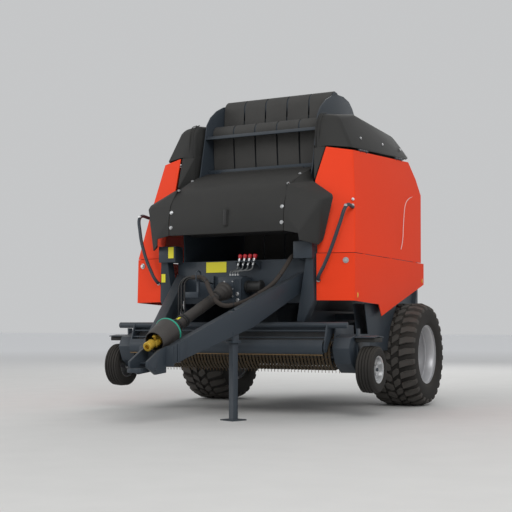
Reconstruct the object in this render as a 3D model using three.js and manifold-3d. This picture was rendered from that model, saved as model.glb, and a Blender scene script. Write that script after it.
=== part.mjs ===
// A towed round baler with a belt chamber, parked on its two road wheels and its jack.
// Millimetres, +Z up. The machine faces -Y, and its own left side is +X.
// Every place is first measured from the road wheels' axle line; the whole group is
// then moved so that the origin lies on the ground under the middle of the machine.

import * as THREE from "three";
import { ConvexGeometry } from "three/addons/geometries/ConvexGeometry.js";
import { mergeVertices } from "three/addons/utils/BufferGeometryUtils.js";
import Module from "manifold-3d";

const wasm = await Module();
wasm.setup();

// ---- driving dimensions ----

const SEAT = 0.3; // gap where two pieces touch
const RUN = 8; // gap beside a piece that moves

const TYRE_RADIUS = 510;
const TYRE_WIDTH = 500;
const BEAD_RADIUS = 290;
const TYRE_WALL = 26;
const SPINDLE_RADIUS = 50;

const CHAMBER_HALF = 600; // inside half width of the bale chamber
const WALL = 12; // chamber side wall
const BALE_RADIUS = 930;
const BALE_Y = 600;
const BALE_Z = 1590;
const BELT_COUNT = 5;
const BELT_GAP = 13;
const BELT_THICK = 6;
const ROLLER_RADIUS = 110;

const PIVOT_Y = 300; // tailgate hinge
const PIVOT_Z = 2740;
const PIVOT_PIN = 24;
const CYLINDER_FOOT = [50, 1650];
const CYLINDER_EYE = [850, 2300];
const BARREL_RADIUS = 32;
const ROD_RADIUS = 20;

const RAIL_WIDTH = 70;
const RAIL_LOW = 830;
const RAIL_HIGH = 930;
const PLATE_Y = -1550; // front face of the front cross plate
const PLATE_LOW = 1000;
const PLATE_HIGH = 1400;

const ARM_WIDTH = 84;
const ARM_FRONT = [150, -2947]; // outer top front corner of a drawbar arm, in plan
const ARM_REAR = [638, -1658];
const JACK_SIDE = 56;
const JACK_WALL = 6;
const JACK_S = 670; // along the arm, from its front corner
const JACK_TOP = 860;

const HOOD_SKIN = 10;
const HOOD_HALF = CHAMBER_HALF - RUN;
const PANEL = 8; // side door sheet
const COVER_SKIN = 12;

const REEL_Y = -1500;
const REEL_Z = 580;
const DRUM_RADIUS = 195;
const TINE_BAR = 120; // from the reel's middle to a tine bar
const PICKUP_HALF = 1020;
const LIFT_Y = -1000; // pickup pivot
const LIFT_Z = 760;
const LIFT_PIN = 18;
const GAUGE_RADIUS = 205;
const GAUGE_WIDTH = 162;
const GAUGE_Y = -1563;
const GAUGE_Z = 417;
const GAUGE_AXLE = 16;
const GUARD_PIVOT = [-1668, 775];
const PRESS_RADIUS = 45;
const ROTOR_Y = -900;
const ROTOR_Z = 650;
const ROTOR_RADIUS = 200;

const SHAFT_NOSE = [-3100, 625];
const SHAFT_TAIL = [-1830, 1113];
const EYE_TIP_Y = -3328;
const HEAD_WEB = -2948; // rear face of the drawbar head
const EYE_BOLT = 8;

// ---- places that follow from them ----

const AXLE_Z = 510; // the axle's height in the drawing
const GROUND_Z = AXLE_Z - TYRE_RADIUS;
const OUT = CHAMBER_HALF + WALL; // outer face of the chamber walls
const TRACK_HALF = OUT + 208 + TYRE_WIDTH / 2;
const DOOR_EDGE = OUT + 200; // inner front edge of the side doors
const BODY_HALF = OUT + 532; // outer face of the side doors
const RAIL_IN = OUT + SEAT;
const RAIL_OUT = OUT + RAIL_WIDTH;
const CYLINDER_X = OUT + 63;
const GAUGE_X = PICKUP_HALF + 282;
const REAR_Y = 1752;

// ---- small geometry tools ----

// A three.js geometry as a solid, with its faces turned outwards.
function solid(geometry) {
  const plain = (geometry.index ? geometry.toNonIndexed() : geometry).clone();
  plain.deleteAttribute("normal");
  plain.deleteAttribute("uv");
  const merged = mergeVertices(plain, 1e-3);
  const corners = Array.from(merged.index.array);
  const kept = [];
  for (let i = 0; i < corners.length; i += 3) {
    const [a, b, c] = corners.slice(i, i + 3);
    if (a !== b && b !== c && a !== c) kept.push(a, b, c);
  }
  const build = (list) =>
    new wasm.Manifold(
      new wasm.Mesh({
        numProp: 3,
        vertProperties: merged.attributes.position.array,
        triVerts: new Uint32Array(list),
      }),
    );
  const made = build(kept);
  return made.volume() < 0 ? build(kept.reverse()) : made;
}

const asSolid = (shape) => (shape.isBufferGeometry ? solid(shape) : shape);
const join = (...shapes) => shapes.map(asSolid).reduce((a, b) => a.add(b));
const cut = (body, ...tools) => tools.map(asSolid).reduce((a, b) => a.subtract(b), asSolid(body));

function toGeometry(shape) {
  const { vertProperties, triVerts } = asSolid(shape).getMesh();
  const geometry = new THREE.BufferGeometry();
  geometry.setAttribute("position", new THREE.BufferAttribute(new Float32Array(vertProperties), 3));
  geometry.setIndex(new THREE.BufferAttribute(new Uint32Array(triVerts), 1));
  geometry.computeVertexNormals();
  return geometry;
}

function block(x0, x1, y0, y1, z0, z1) {
  const box = new THREE.BoxGeometry(x1 - x0, y1 - y0, z1 - z0);
  return box.translate((x0 + x1) / 2, (y0 + y1) / 2, (z0 + z1) / 2);
}

function extrude(outline, depth) {
  const shape = new THREE.Shape(outline.map(([a, b]) => new THREE.Vector2(a, b)));
  return new THREE.ExtrudeGeometry(shape, { depth, bevelEnabled: false, curveSegments: 1 });
}

const AXIS = { x: new THREE.Vector3(1, 0, 0), y: new THREE.Vector3(0, 1, 0), z: new THREE.Vector3(0, 0, 1) };

// An outline in (Y, Z), thick from x0 to x1.
function plateX(outline, x0, x1) {
  const turn = new THREE.Matrix4().makeBasis(AXIS.y, AXIS.z, AXIS.x);
  return extrude(outline, x1 - x0).applyMatrix4(turn).translate(x0, 0, 0);
}

// An outline in (X, Z), thick from y0 to y1.
function plateY(outline, y0, y1) {
  const turn = new THREE.Matrix4().makeBasis(AXIS.x, AXIS.z, AXIS.y.clone().negate());
  return extrude(outline, y1 - y0).applyMatrix4(turn).translate(0, y1, 0);
}

// An outline in (X, Y), thick from z0 to z1.
const plateZ = (outline, z0, z1) => extrude(outline, z1 - z0).translate(0, 0, z0);

// A round bar from one point to another; the second radius makes it a cone.
function bar(from, to, radius, sides = 16, endRadius = radius) {
  const a = new THREE.Vector3(...from);
  const b = new THREE.Vector3(...to);
  const along = b.clone().sub(a);
  const made = new THREE.CylinderGeometry(endRadius, radius, along.length(), sides);
  const turn = new THREE.Quaternion().setFromUnitVectors(AXIS.y, along.clone().normalize());
  const middle = a.add(b).multiplyScalar(0.5);
  return made.applyQuaternion(turn).translate(middle.x, middle.y, middle.z);
}

const barX = (x0, x1, y, z, radius, sides = 20) => bar([x0, y, z], [x1, y, z], radius, sides);

// A closed profile of (x, radius) points, spun about a line parallel to X.
function spinX(profile, x, y, z, segments) {
  const points = [...profile, profile[0]].map(([across, radius]) => new THREE.Vector2(radius, across));
  const turn = new THREE.Matrix4().makeBasis(AXIS.z, AXIS.x, AXIS.y);
  return new THREE.LatheGeometry(points, segments).applyMatrix4(turn).translate(x, y, z);
}

// A round tube along a smooth curve.
function pipe(points, radius, sides, steps) {
  const path = new THREE.CatmullRomCurve3(points.map((p) => new THREE.Vector3(...p)));
  const circle = Array.from({ length: sides }, (_, i) => {
    const turn = (2 * Math.PI * i) / sides;
    return new THREE.Vector2(radius * Math.cos(turn), radius * Math.sin(turn));
  });
  const shape = new THREE.Shape(circle);
  return new THREE.ExtrudeGeometry(shape, { steps, extrudePath: path, bevelEnabled: false });
}

// The closed outline of a strip that follows a polyline, with its thickness on the left.
function strip(line, thickness) {
  const side = line.map((point, i) => {
    const turns = [];
    for (const [a, b] of [[i - 1, i], [i, i + 1]]) {
      if (!line[a] || !line[b]) continue;
      const run = [line[b][0] - line[a][0], line[b][1] - line[a][1]];
      const size = Math.hypot(...run);
      turns.push([-run[1] / size, run[0] / size]);
    }
    const sum = [0, 1].map((k) => turns.reduce((total, t) => total + t[k], 0));
    const reach = sum[0] * turns[0][0] + sum[1] * turns[0][1];
    return [point[0] + (sum[0] * thickness) / reach, point[1] + (sum[1] * thickness) / reach];
  });
  return [...line, ...side.reverse()];
}

// Points of an arc in (Y, Z), from one angle to another in degrees.
function arc(y, z, radius, from, to, steps) {
  return Array.from({ length: steps + 1 }, (_, i) => {
    const turn = THREE.MathUtils.degToRad(from + ((to - from) * i) / steps);
    return [y + radius * Math.cos(turn), z + radius * Math.sin(turn)];
  });
}

const hull = (points) => new ConvexGeometry(points.map((p) => new THREE.Vector3(...p)));

// A bent sheet: corner points of its outer side, faces as loops of their numbers seen
// from outside, and its thickness inwards.
function sheet(points, faces, thickness) {
  const outer = points.map((p) => new THREE.Vector3(...p));
  const around = outer.map(() => []);
  const triangles = [];
  for (const face of faces) {
    const normal = new THREE.Vector3();
    face.forEach((corner, i) => {
      const next = outer[face[(i + 1) % face.length]];
      normal.add(new THREE.Vector3().crossVectors(outer[corner], next));
    });
    normal.normalize();
    face.forEach((corner) => around[corner].push(normal));
    for (let k = 1; k < face.length - 1; k++) triangles.push([face[0], face[k], face[k + 1]]);
  }
  const inner = outer.map((point, i) => {
    const mean = around[i].reduce((a, b) => a.clone().add(b), new THREE.Vector3()).normalize();
    const grip = around[i].reduce((a, b) => a + mean.dot(b), 0) / around[i].length;
    return point.clone().addScaledVector(mean, -thickness / grip);
  });
  const edges = new Set(triangles.flatMap(([a, b, c]) => [`${a} ${b}`, `${b} ${c}`, `${c} ${a}`]));
  const corners = [];
  for (const [a, b, c] of triangles) {
    corners.push(outer[a], outer[b], outer[c], inner[c], inner[b], inner[a]);
  }
  for (const edge of edges) {
    const [a, b] = edge.split(" ").map(Number);
    if (edges.has(`${b} ${a}`)) continue;
    corners.push(outer[b], outer[a], inner[a], outer[b], inner[a], inner[b]);
  }
  return new THREE.BufferGeometry().setFromPoints(corners);
}

// ---- materials and the scene graph ----

const paint = (color, roughness, metalness = 0) =>
  new THREE.MeshStandardMaterial({ color, roughness, metalness });

const STEEL = paint(0x353c44, 0.5, 0.2);
const RED = paint(0xf0452c, 0.35);
const BLACK = paint(0x3a3a38, 0.6);
const RUBBER = paint(0x34322f, 0.9);
const RIM = paint(0xb5b5b8, 0.35, 0.8);
const BELT = paint(0x3c3b39, 0.85);
const TINE = paint(0x8a6a45, 0.5, 0.6);
const YELLOW = paint(0xc9a83a, 0.4, 0.5);
const NET = paint(0x2a2a2a, 0.8);

const machine = new THREE.Group();
machine.position.set(0, -(EYE_TIP_Y + REAR_Y) / 2, -GROUND_Z);

function add(name, shape, material) {
  const mesh = new THREE.Mesh(toGeometry(shape), material);
  mesh.name = name;
  machine.add(mesh);
  return mesh;
}

// The same piece on the machine's left and, mirrored, on its right.
function pair(name, shape, material) {
  add(`${name}_left`, shape, material);
  add(`${name}_right`, shape, material).scale.x = -1;
}

// ---- axle and road wheels ----

function axleBeam() {
  const end = TRACK_HALF - TYRE_WIDTH / 2 - 20;
  const pieces = [block(-end, end, -60, 60, AXLE_Z - 60, AXLE_Z + 60)];
  for (const side of [-1, 1]) {
    const upright = [[-180, RAIL_LOW - SEAT], [-90, AXLE_Z - 60], [90, AXLE_Z - 60], [180, RAIL_LOW - SEAT]];
    const [x0, x1] = [side * RAIL_IN, side * (RAIL_IN + 30)].sort((a, b) => a - b);
    pieces.push(plateX(upright, x0, x1));
    pieces.push(barX(side * (end - 5), side * (TRACK_HALF + 60), 0, AXLE_Z, SPINDLE_RADIUS, 28));
  }
  return join(...pieces);
}

function mainTyre() {
  const half = TYRE_WIDTH / 2;
  const crown = TYRE_RADIUS;
  const outer = [[-half + 32, BEAD_RADIUS], [-half, 400], [-half + 14, crown - 40], [-half + 80, crown],
    [half - 80, crown], [half - 14, crown - 40], [half, 400], [half - 32, BEAD_RADIUS]];
  const inner = [[half - 62, BEAD_RADIUS], [half - TYRE_WALL - 14, crown - 70],
    [-half + TYRE_WALL + 14, crown - 70], [-half + 62, BEAD_RADIUS]];
  return spinX([...outer, ...inner], TRACK_HALF, 0, AXLE_Z, 28);
}

function mainRim() {
  const half = TYRE_WIDTH / 2 - 30;
  const seat = BEAD_RADIUS - SEAT;
  const bore = SPINDLE_RADIUS + 0.8;
  const dish = [[-half, seat], [-half, seat - 14], [-10, seat - 16], [-10, 110], [-70, 96],
    [-70, bore], [70, bore], [70, 124], [10, 130], [10, seat - 16], [half, seat - 14], [half, seat]];
  return spinX(dish, TRACK_HALF, 0, AXLE_Z, 28);
}

// ---- chassis ----

function sideRail() {
  const rail = block(RAIL_IN, RAIL_OUT, PLATE_Y + 9 + SEAT, 240, RAIL_LOW, RAIL_HIGH);
  const lug = plateX([[LIFT_Y - 60, RAIL_LOW + 5], [LIFT_Y - 36, LIFT_Z - 34], [LIFT_Y + 36, LIFT_Z - 34],
    [LIFT_Y + 60, RAIL_LOW + 5]], RAIL_IN, RAIL_OUT - 2);
  const pin = barX(RAIL_OUT - 12, RAIL_OUT + 44, LIFT_Y, LIFT_Z, LIFT_PIN, 14);
  return join(rail, lug, pin);
}

// The wall of the front half of the chamber, with the pins and bosses it carries.
function chamberWall() {
  const outline = [
    [PLATE_Y + 10, 850], [PLATE_Y + 10, 1560], [-1560, 1700], [-1500, 1930], [-1300, 2160], [-1245, 2280], [-1121, 2795],
    [-1046, 2888], [-920, 2978], [-780, 3042], [-640, 3077], [-493, 3085], [-349, 3060], [-262, 3005], [-150, 2880],
    [150, 2802], [340, 2790], [350, 2692], [480, 640], [120, 590], [-70, 582], [-560, 520], [-760, 405], [-1000, 430],
    [-1130, 600], [-1150, 850],
  ];
  const wall = plateX(outline, CHAMBER_HALF, OUT);
  const pivotPin = barX(OUT - 6, OUT + 22, PIVOT_Y, PIVOT_Z, PIVOT_PIN, 16);
  const footBoss = barX(OUT - 6, CYLINDER_X - 15, ...CYLINDER_FOOT, 24, 12);
  const footPin = barX(OUT - 6, CYLINDER_X + 20, ...CYLINDER_FOOT, 14, 12);
  return join(wall, pivotPin, footBoss, footPin, ...doorRail());
}

// The rail that carries a side door's hinge, on two outriggers from the chamber wall.
const HINGE_FRONT = [BODY_HALF - 126, -1251, 2416];
const HINGE_REAR = [BODY_HALF - 141, 329, 2523];
const KNUCKLES = [[0.14, 0.19], [0.78, 0.83]]; // each along the hinge line, as a share of it

function onHinge(share, inwards = 0, down = 0) {
  const point = HINGE_FRONT.map((v, i) => v + (HINGE_REAR[i] - v) * share);
  return [point[0] - inwards, point[1], point[2] - down];
}

function doorRail() {
  const pieces = [];
  for (const [from, to] of KNUCKLES) {
    const middle = (from + to) / 2;
    const reach = onHinge(middle, 34, 4);
    pieces.push(bar(onHinge(from), onHinge(to), 9, 8));
    pieces.push(bar([OUT - 4, reach[1], reach[2] - 60], reach, 14, 8));
    pieces.push(bar(reach, onHinge(middle), 6, 6));
  }
  return pieces;
}

function frontPlate() {
  const half = OUT + 58;
  const face = block(-half, half, PLATE_Y, PLATE_Y + 9, PLATE_LOW, PLATE_HIGH);
  const lip = block(-CHAMBER_HALF + SEAT, CHAMBER_HALF - SEAT, PLATE_Y, PLATE_Y + 60, PLATE_HIGH - 9, PLATE_HIGH);
  const beam = block(-CHAMBER_HALF + SEAT, CHAMBER_HALF - SEAT, PLATE_Y + 5, PLATE_Y + 100, PLATE_LOW, PLATE_LOW + 90);
  return join(face, lip, beam);
}

// A post that stands on the rail's front end and carries the box beside the net bay.
function frontPost() {
  const box = block(OUT + 5, OUT + 188, PLATE_Y - 140, PLATE_Y - SEAT, 1394, 1545);
  const leg = plateY([[OUT + 113, 1400], [OUT + 184, 1400], [OUT + 190, 1031], [OUT + 94, 832], [OUT + 22, 832]],
    PLATE_Y - 105, PLATE_Y - SEAT);
  const foot = block(OUT + 24, OUT + 80, PLATE_Y - 60, PLATE_Y + 9, 832, 940);
  return join(box, leg, foot);
}

// ---- drawbar and jack ----

const ARM_RUN = [ARM_REAR[0] - ARM_FRONT[0], ARM_REAR[1] - ARM_FRONT[1]];
const ARM_TURN = Math.atan2(ARM_RUN[0], ARM_RUN[1]);

// Moves a shape drawn along the left arm, with Y along it and X = 0 on its outer face.
const onArm = (geometry) => geometry.rotateZ(-ARM_TURN).translate(...ARM_FRONT, 0);

function drawbarArm(hole) {
  const side = [[-60, 612], [1560, 1313], [1560, 1168], [1273, 1006], [857, 782], [-60, 468]];
  const arm = onArm(plateX(side, -ARM_WIDTH, 0));
  const trim = block(0, 1500, PLATE_Y - SEAT, 0, 0, 3000);
  const nose = block(-500, 800, -3400, HEAD_WEB + SEAT, 0, 3000);
  return cut(arm, trim, nose, shaftRoom(), ...hole);
}

// Room over the drawbar's nose for the bell of the drive shaft's guard.
const shaftRoom = () => bar(shaftAt(-3040), shaftAt(-2760), 94, 20, 130);

// The left arm has a square sleeve through it for the jack.
function jackHole() {
  const half = JACK_SIDE / 2 + JACK_WALL + SEAT;
  return block(-ARM_WIDTH / 2 - half, -ARM_WIDTH / 2 + half, JACK_S - half, JACK_S + half, 300, 1300);
}

function jackSleeve() {
  const half = JACK_SIDE / 2 + JACK_WALL;
  const bore = JACK_SIDE / 2 + 0.6;
  const middle = -ARM_WIDTH / 2;
  const tube = block(middle - half, middle + half, JACK_S - half, JACK_S + half, 650, 920);
  const collar = block(middle - half - 12, middle + half + 12, JACK_S - half - 12, JACK_S + half + 12, 650, 672);
  const opening = block(middle - bore, middle + bore, JACK_S - bore, JACK_S + bore, 600, 1000);
  return onArm(toGeometry(cut(join(tube, collar), opening)));
}

function jackLeg() {
  const half = JACK_SIDE / 2;
  const middle = -ARM_WIDTH / 2;
  const leg = block(middle - half, middle + half, JACK_S - half, JACK_S + half, GROUND_Z + 5, JACK_TOP);
  const foot = block(middle - 80, middle + 80, JACK_S - 80, JACK_S + 80, GROUND_Z, GROUND_Z + 10);
  return onArm(toGeometry(join(leg, foot)));
}

function drawbarHead() {
  const cheek = [[-3229, 515], [-3065, 600], [HEAD_WEB - 10, 634], [HEAD_WEB - 10, 420], [-3110, 409], [-3229, 470]];
  const cheeks = [plateX(cheek, 72, 92), plateX(cheek, -92, -72)];
  const web = block(-160, 160, HEAD_WEB - 20, HEAD_WEB, 470, 632);
  const floor = block(-80, 80, -3090, HEAD_WEB - 10, 490, 506);
  const bolt = barX(-110, 110, -3121, 447, EYE_BOLT, 12);
  return cut(join(...cheeks, web, floor, bolt), shaftRoom());
}

function towEye() {
  const tongue = block(-38, 38, EYE_TIP_Y + 60, HEAD_WEB - 21, 431, 463);
  const nose = bar([0, EYE_TIP_Y + 58, 431], [0, EYE_TIP_Y + 58, 463], 58, 24);
  const hole = bar([0, EYE_TIP_Y + 58, 400], [0, EYE_TIP_Y + 58, 500], 26, 20);
  const boltHole = barX(-60, 60, -3121, 447, EYE_BOLT + SEAT, 12);
  return cut(join(tongue, nose), hole, boltHole);
}

// ---- drive shaft and gearbox ----

const shaftAt = (y) => [0, y, SHAFT_NOSE[1] + ((y - SHAFT_NOSE[0]) * (SHAFT_TAIL[1] - SHAFT_NOSE[1])) / (SHAFT_TAIL[0] - SHAFT_NOSE[0])];

function driveShaft() {
  const yoke = bar(shaftAt(-3100), shaftAt(-3010), 38, 12);
  const cross = bar(shaftAt(-3030), shaftAt(-2930), 52, 12);
  const core = bar(shaftAt(-2960), shaftAt(SHAFT_TAIL[0] - 0.2), 24, 12);
  return join(yoke, cross, core);
}

function shaftGuard() {
  const bell = bar(shaftAt(-2995), shaftAt(-2784), 86, 16, 116);
  const neck = bar(shaftAt(-2790), shaftAt(-2700), 116, 16, 60);
  const sleeve = bar(shaftAt(-2710), shaftAt(-1960), 48, 12);
  const rear = bar(shaftAt(-2000), shaftAt(SHAFT_TAIL[0] - 8), 60, 12, 84);
  const mouth = bar(shaftAt(-3010), shaftAt(-2794), 78, 16, 108);
  const taper = bar(shaftAt(-2796), shaftAt(-2712), 106, 16, 40);
  const bore = bar(shaftAt(-2730), shaftAt(-1800), 24.9, 12);
  const rearMouth = bar(shaftAt(-1960), shaftAt(SHAFT_TAIL[0] + 30), 52, 12, 76);
  return cut(join(bell, neck, sleeve, rear), mouth, taper, bore, rearMouth);
}

function gearbox() {
  const body = block(-120, 130, -1745, PLATE_Y - SEAT, 1010, 1240);
  const face = block(-60, 130, -1775, -1740, 1004, 1223);
  const input = bar(shaftAt(SHAFT_TAIL[0] + 0.2), shaftAt(-1730), 30, 12);
  const crossShaft = barX(120, 300, -1660, 1150, 58, 16);
  const couplers = block(20, 240, -1640, -1600, 1235, 1262);
  const pads = [0, 1, 2, 3].map((i) => bar([47 + i * 55, -1640, 1255], [47 + i * 58, -1655, 1400], 11, 6));
  return join(body, face, input, crossShaft, couplers, ...pads);
}

// ---- hood over the net bay ----

const HOOD_LINE = [[-1840, 1632], [-1842, 1780], [-1815, 1910], [-1711, 2060], [-1443, 2190], [-1142, 2297]];
const LID_AXIS = [-1116, 2300];
const LID_TUBE = 443;

function hoodLid() {
  const skin = plateX(strip(HOOD_LINE, -HOOD_SKIN), -HOOD_HALF, HOOD_HALF);
  const lip = block(-HOOD_HALF, HOOD_HALF, -1838, -1800, 1632, 1642);
  const tube = barX(-LID_TUBE, LID_TUBE, ...LID_AXIS, 11, 12);
  const tabs = [-420, 370].map((x) => block(x, x + 50, -1152, LID_AXIS[0], 2285, 2296));
  return join(skin, lip, tube, ...tabs);
}

function hoodWing() {
  const edge = HOOD_HALF + 6;
  const outer = [
    [edge, -1840, 1632], [edge, -1842, 1780], [edge, -1815, 1910], [edge, -1711, 2060],
    [OUT + 123, -1832, 1630], [OUT + 128, -1822, 1546], [OUT + 248, -1703, 1539],
    [OUT + 296, -1720, 1908], [OUT + 358, -1596, 1951], [OUT + 118, -1505, 2104],
    [OUT + 26, -1300, 2143], [edge, -1300, 2246], [OUT + 258, -1604, 1540],
  ];
  const faces = [[0, 4, 1], [1, 4, 2], [4, 7, 2], [4, 5, 6], [4, 6, 7], [2, 7, 3], [3, 7, 8], [3, 8, 9],
    [3, 9, 10], [3, 10, 11], [7, 6, 12], [7, 12, 8]];
  const bracket = plateY([[OUT + SEAT, 1850], [OUT + SEAT, 1940], [OUT + 88, 2104], [OUT + 88, 2062]], -1486, -1474);
  return cut(join(sheet(outer, faces, HOOD_SKIN), bracket), block(0, edge, -2000, -1000, 1000, 3000));
}

function sillBar() {
  const end = CHAMBER_HALF - SEAT;
  const channel = block(-end, end, -1096, -1050, 2230, 2300);
  const ears = [-1, 1].map((side) => {
    const [x0, x1] = [side * (LID_TUBE + 0.7), side * (LID_TUBE + 8)].sort((a, b) => a - b);
    return block(x0, x1, LID_AXIS[0] - 12, -1090, 2286, 2312);
  });
  return join(channel, ...ears);
}

function midBar() {
  const end = CHAMBER_HALF - SEAT;
  return plateX(strip([[-1020, 2685], [-1120, 2672], [-1150, 2640]], -8), -end, end);
}

function netRoll() {
  const end = CHAMBER_HALF - SEAT;
  return join(barX(-end, end, -1440, 1760, 26, 12), barX(-CHAMBER_HALF + 25, CHAMBER_HALF - 25, -1440, 1760, 120, 20));
}

// ---- belts ----

const ROLLER_END = CHAMBER_HALF - SEAT;

function belts(line) {
  const pitch = (2 * CHAMBER_HALF) / BELT_COUNT;
  return Array.from({ length: BELT_COUNT }, (_, i) => {
    const left = -CHAMBER_HALF + i * pitch + BELT_GAP / 2;
    return plateX(strip(line, BELT_THICK), left, left + pitch - BELT_GAP);
  });
}

function frontBelts() {
  const rollers = [[-930, 2720, 86], [-660, 2990, 118]];
  const shafts = rollers.map(([y, z, r]) => barX(-ROLLER_END, ROLLER_END, y, z, r - 1, 12));
  const stays = [block(-ROLLER_END, -ROLLER_END + 6, -940, -620, 2700, 2740),
    block(-ROLLER_END, -ROLLER_END + 6, -690, -630, 2700, 2990)];
  const low = [...arc(-930, 2720, 86, 80, 178, 3), [-1000, 2480], [-985, 2320]];
  const high = [...arc(-660, 2990, 118, 60, 180, 4), [-790, 2806]];
  return join(...shafts, ...stays, ...belts(low), ...belts(high));
}

// A roller outside the bale, at an angle round it.
const besideBale = (angle, gap = BELT_THICK) => {
  const reach = BALE_RADIUS + gap + ROLLER_RADIUS;
  const turn = THREE.MathUtils.degToRad(angle);
  return [BALE_Y + reach * Math.cos(turn), BALE_Z + reach * Math.sin(turn)];
};

function chamberBelts() {
  const ends = [205, 128].map((angle) => barX(-ROLLER_END, ROLLER_END, ...besideBale(angle), ROLLER_RADIUS + 5, 12));
  const run = arc(BALE_Y, BALE_Z, BALE_RADIUS + BELT_THICK, 208, 126, 6);
  return join(...ends, ...belts(run));
}

// ---- roof cover over the belt tensioner, open below, behind and towards the belts ----

function roofCover() {
  const rear = 640;
  const high = [
    [OUT + 33, -1295, 2440], [OUT + 33, -1290, 2700], [OUT + 40, -1200, 2790], [OUT + 40, -800, 2830],
    [OUT + 40, 223, 2790], [OUT + 40, 460, 2718], [OUT + 40, rear, 2618], [OUT + 33, rear, 2560],
    [OUT + 238, -1200, 2745], [OUT + 238, -800, 2838], [OUT + 238, 223, 2797], [OUT + 238, 460, 2725],
    [OUT + 238, rear, 2622], [OUT + 388, -1238, 2446], [OUT + 372, 329, 2556], [OUT + 350, rear, 2576],
    [OUT + 166, -1318, 2456],
  ];
  const inside = high.map(([x, y, z]) => [
    x > OUT + 60 ? x - COVER_SKIN : x + COVER_SKIN, y > 0 ? y + (y === rear ? 60 : 0) : y + COVER_SKIN + 4, z < 2600 ? z - 60 : z - COVER_SKIN - 2]);
  const tip = hull([
    [OUT + 33, -1296, 2160], [OUT + 118, -1480, 2118], [OUT + 158, -1322, 2450], [OUT + 33, -1296, 2450],
    [OUT + 33, -1240, 2160], [OUT + 118, -1380, 2118], [OUT + 158, -1240, 2450], [OUT + 33, -1240, 2450]]);
  const tipInside = hull([
    [OUT + 20, -1270, 2100], [OUT + 108, -1440, 2100], [OUT + 146, -1300, 2420], [OUT + 20, -1270, 2420],
    [OUT + 20, -1200, 2100], [OUT + 108, -1200, 2100], [OUT + 146, -1200, 2420], [OUT + 20, -1200, 2420]]);
  const tabs = [[-1000, 2799], [-700, 2811], [100, 2781]].map(([y, z]) =>
    block(OUT + SEAT, OUT + 60, y, y + 40, z, z + 10));
  return join(cut(hull(high), hull(inside)), cut(tip, tipInside), ...tabs);
}

// ---- side doors ----

const DOOR_SEAM = 1440;

function upperPanel() {
  const low = DOOR_SEAM + 3;
  const points = [
    [DOOR_EDGE, -1600, low], [OUT + 163, -1530, 1950], [OUT + 133, -1490, 2108], [OUT + 172, -1330, 2440],
    [BODY_HALF, -1530, low], [BODY_HALF - 54, -1385, 1930], [BODY_HALF - 127, -1251, 2404],
    [BODY_HALF - 6, 300, low], [BODY_HALF - 40, 420, 2160], [BODY_HALF - 110, 465, 2343], [BODY_HALF - 143, 329, 2510],
  ];
  const faces = [[0, 4, 5, 1], [1, 5, 2], [2, 5, 6], [2, 6, 3], [4, 7, 8, 5], [5, 8, 9, 10, 6]];
  const skin = sheet(points, faces, PANEL);
  return join(skin, ...doorKnuckles());
}

function doorKnuckles() {
  const pieces = [];
  const gap = 0.0004;
  for (const [from, to] of KNUCKLES) {
    for (const [a, b] of [[from - 0.05, from - gap], [to + gap, to + 0.05]]) {
      const middle = (a + b) / 2;
      pieces.push(bar(onHinge(a), onHinge(b), 9, 8));
      pieces.push(bar(onHinge(middle), onHinge(middle, 3, 22), 6, 6));
    }
  }
  return pieces;
}

function lowerPanel() {
  const high = DOOR_SEAM - 3;
  const points = [
    [DOOR_EDGE, -1620, 1020], [DOOR_EDGE, -1620, high], [BODY_HALF, -1544, 1016], [BODY_HALF, -1532, high],
    [BODY_HALF, -946, 993], [BODY_HALF, -872, 887], [BODY_HALF, -371, 1025], [BODY_HALF, 363, 1219],
    [BODY_HALF, 370, high],
  ];
  const faces = [[0, 2, 3, 1], [2, 4, 3], [4, 5, 6], [4, 6, 7, 8, 3]];
  const pads = [-1300, -600, 100].map((y) =>
    block(BODY_HALF - 14, BODY_HALF - 3, y - 30, y + 30, high - 12, DOOR_SEAM + 1));
  return join(sheet(points, faces, PANEL), ...pads);
}

function grabBar() {
  const curve = [[BODY_HALF - 62, -1417, 1858], [BODY_HALF - 58, -1585, 1850], [BODY_HALF - 95, -1640, 1700],
    [BODY_HALF - 160, -1665, 1500], [BODY_HALF - 235, -1668, 1330], [BODY_HALF - 300, -1655, 1215],
    [BODY_HALF - 308, -1620.5, 1196]];
  return pipe(curve, 12, 8, 14);
}

// ---- guard plate ahead of each road wheel ----

function wheelGuard() {
  const side = [[-1150, 1000], [-1020, 560], [-560, 560], [-520, 680], [-450, 820], [-300, 985], [-300, 1000]];
  const outer = OUT + 470;
  const inner = OUT + 350;
  const box = cut(plateX(side, inner, outer), block(inner + 8, outer - 8, -1200, -300, 600, 1100));
  const arm = block(RAIL_OUT + SEAT, inner + 5, -900, -840, 850, 910);
  return join(box, arm, block(inner - 5, inner + 8, -960, -780, 620, 990));
}

// ---- feed rotor and throat ----

function throatFloor() {
  const line = [...arc(ROTOR_Y, ROTOR_Z, ROTOR_RADIUS + 16, 200, 300, 6), [-640, 560], [-90, 735]];
  return plateX(strip(line, -8), -CHAMBER_HALF + SEAT, CHAMBER_HALF - SEAT);
}

function feedRotor() {
  const stars = [];
  for (let i = 0; i < 5; i++) {
    const x = -500 + i * 250;
    const star = Array.from({ length: 8 }, (_, k) => {
      const turn = (Math.PI * k) / 4 + i * 0.5;
      const radius = k % 2 ? 80 : ROTOR_RADIUS;
      return [ROTOR_Y + radius * Math.cos(turn), ROTOR_Z + radius * Math.sin(turn)];
    });
    stars.push(plateX(star, x - 6, x + 6));
  }
  return join(barX(-CHAMBER_HALF + 0.8, CHAMBER_HALF - 0.8, ROTOR_Y, ROTOR_Z, 70, 12), ...stars);
}

function floorRoller() {
  return barX(-CHAMBER_HALF + 0.8, CHAMBER_HALF - 0.8, ...besideBale(242), ROLLER_RADIUS - 6, 16);
}

// ---- pickup ----

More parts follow.
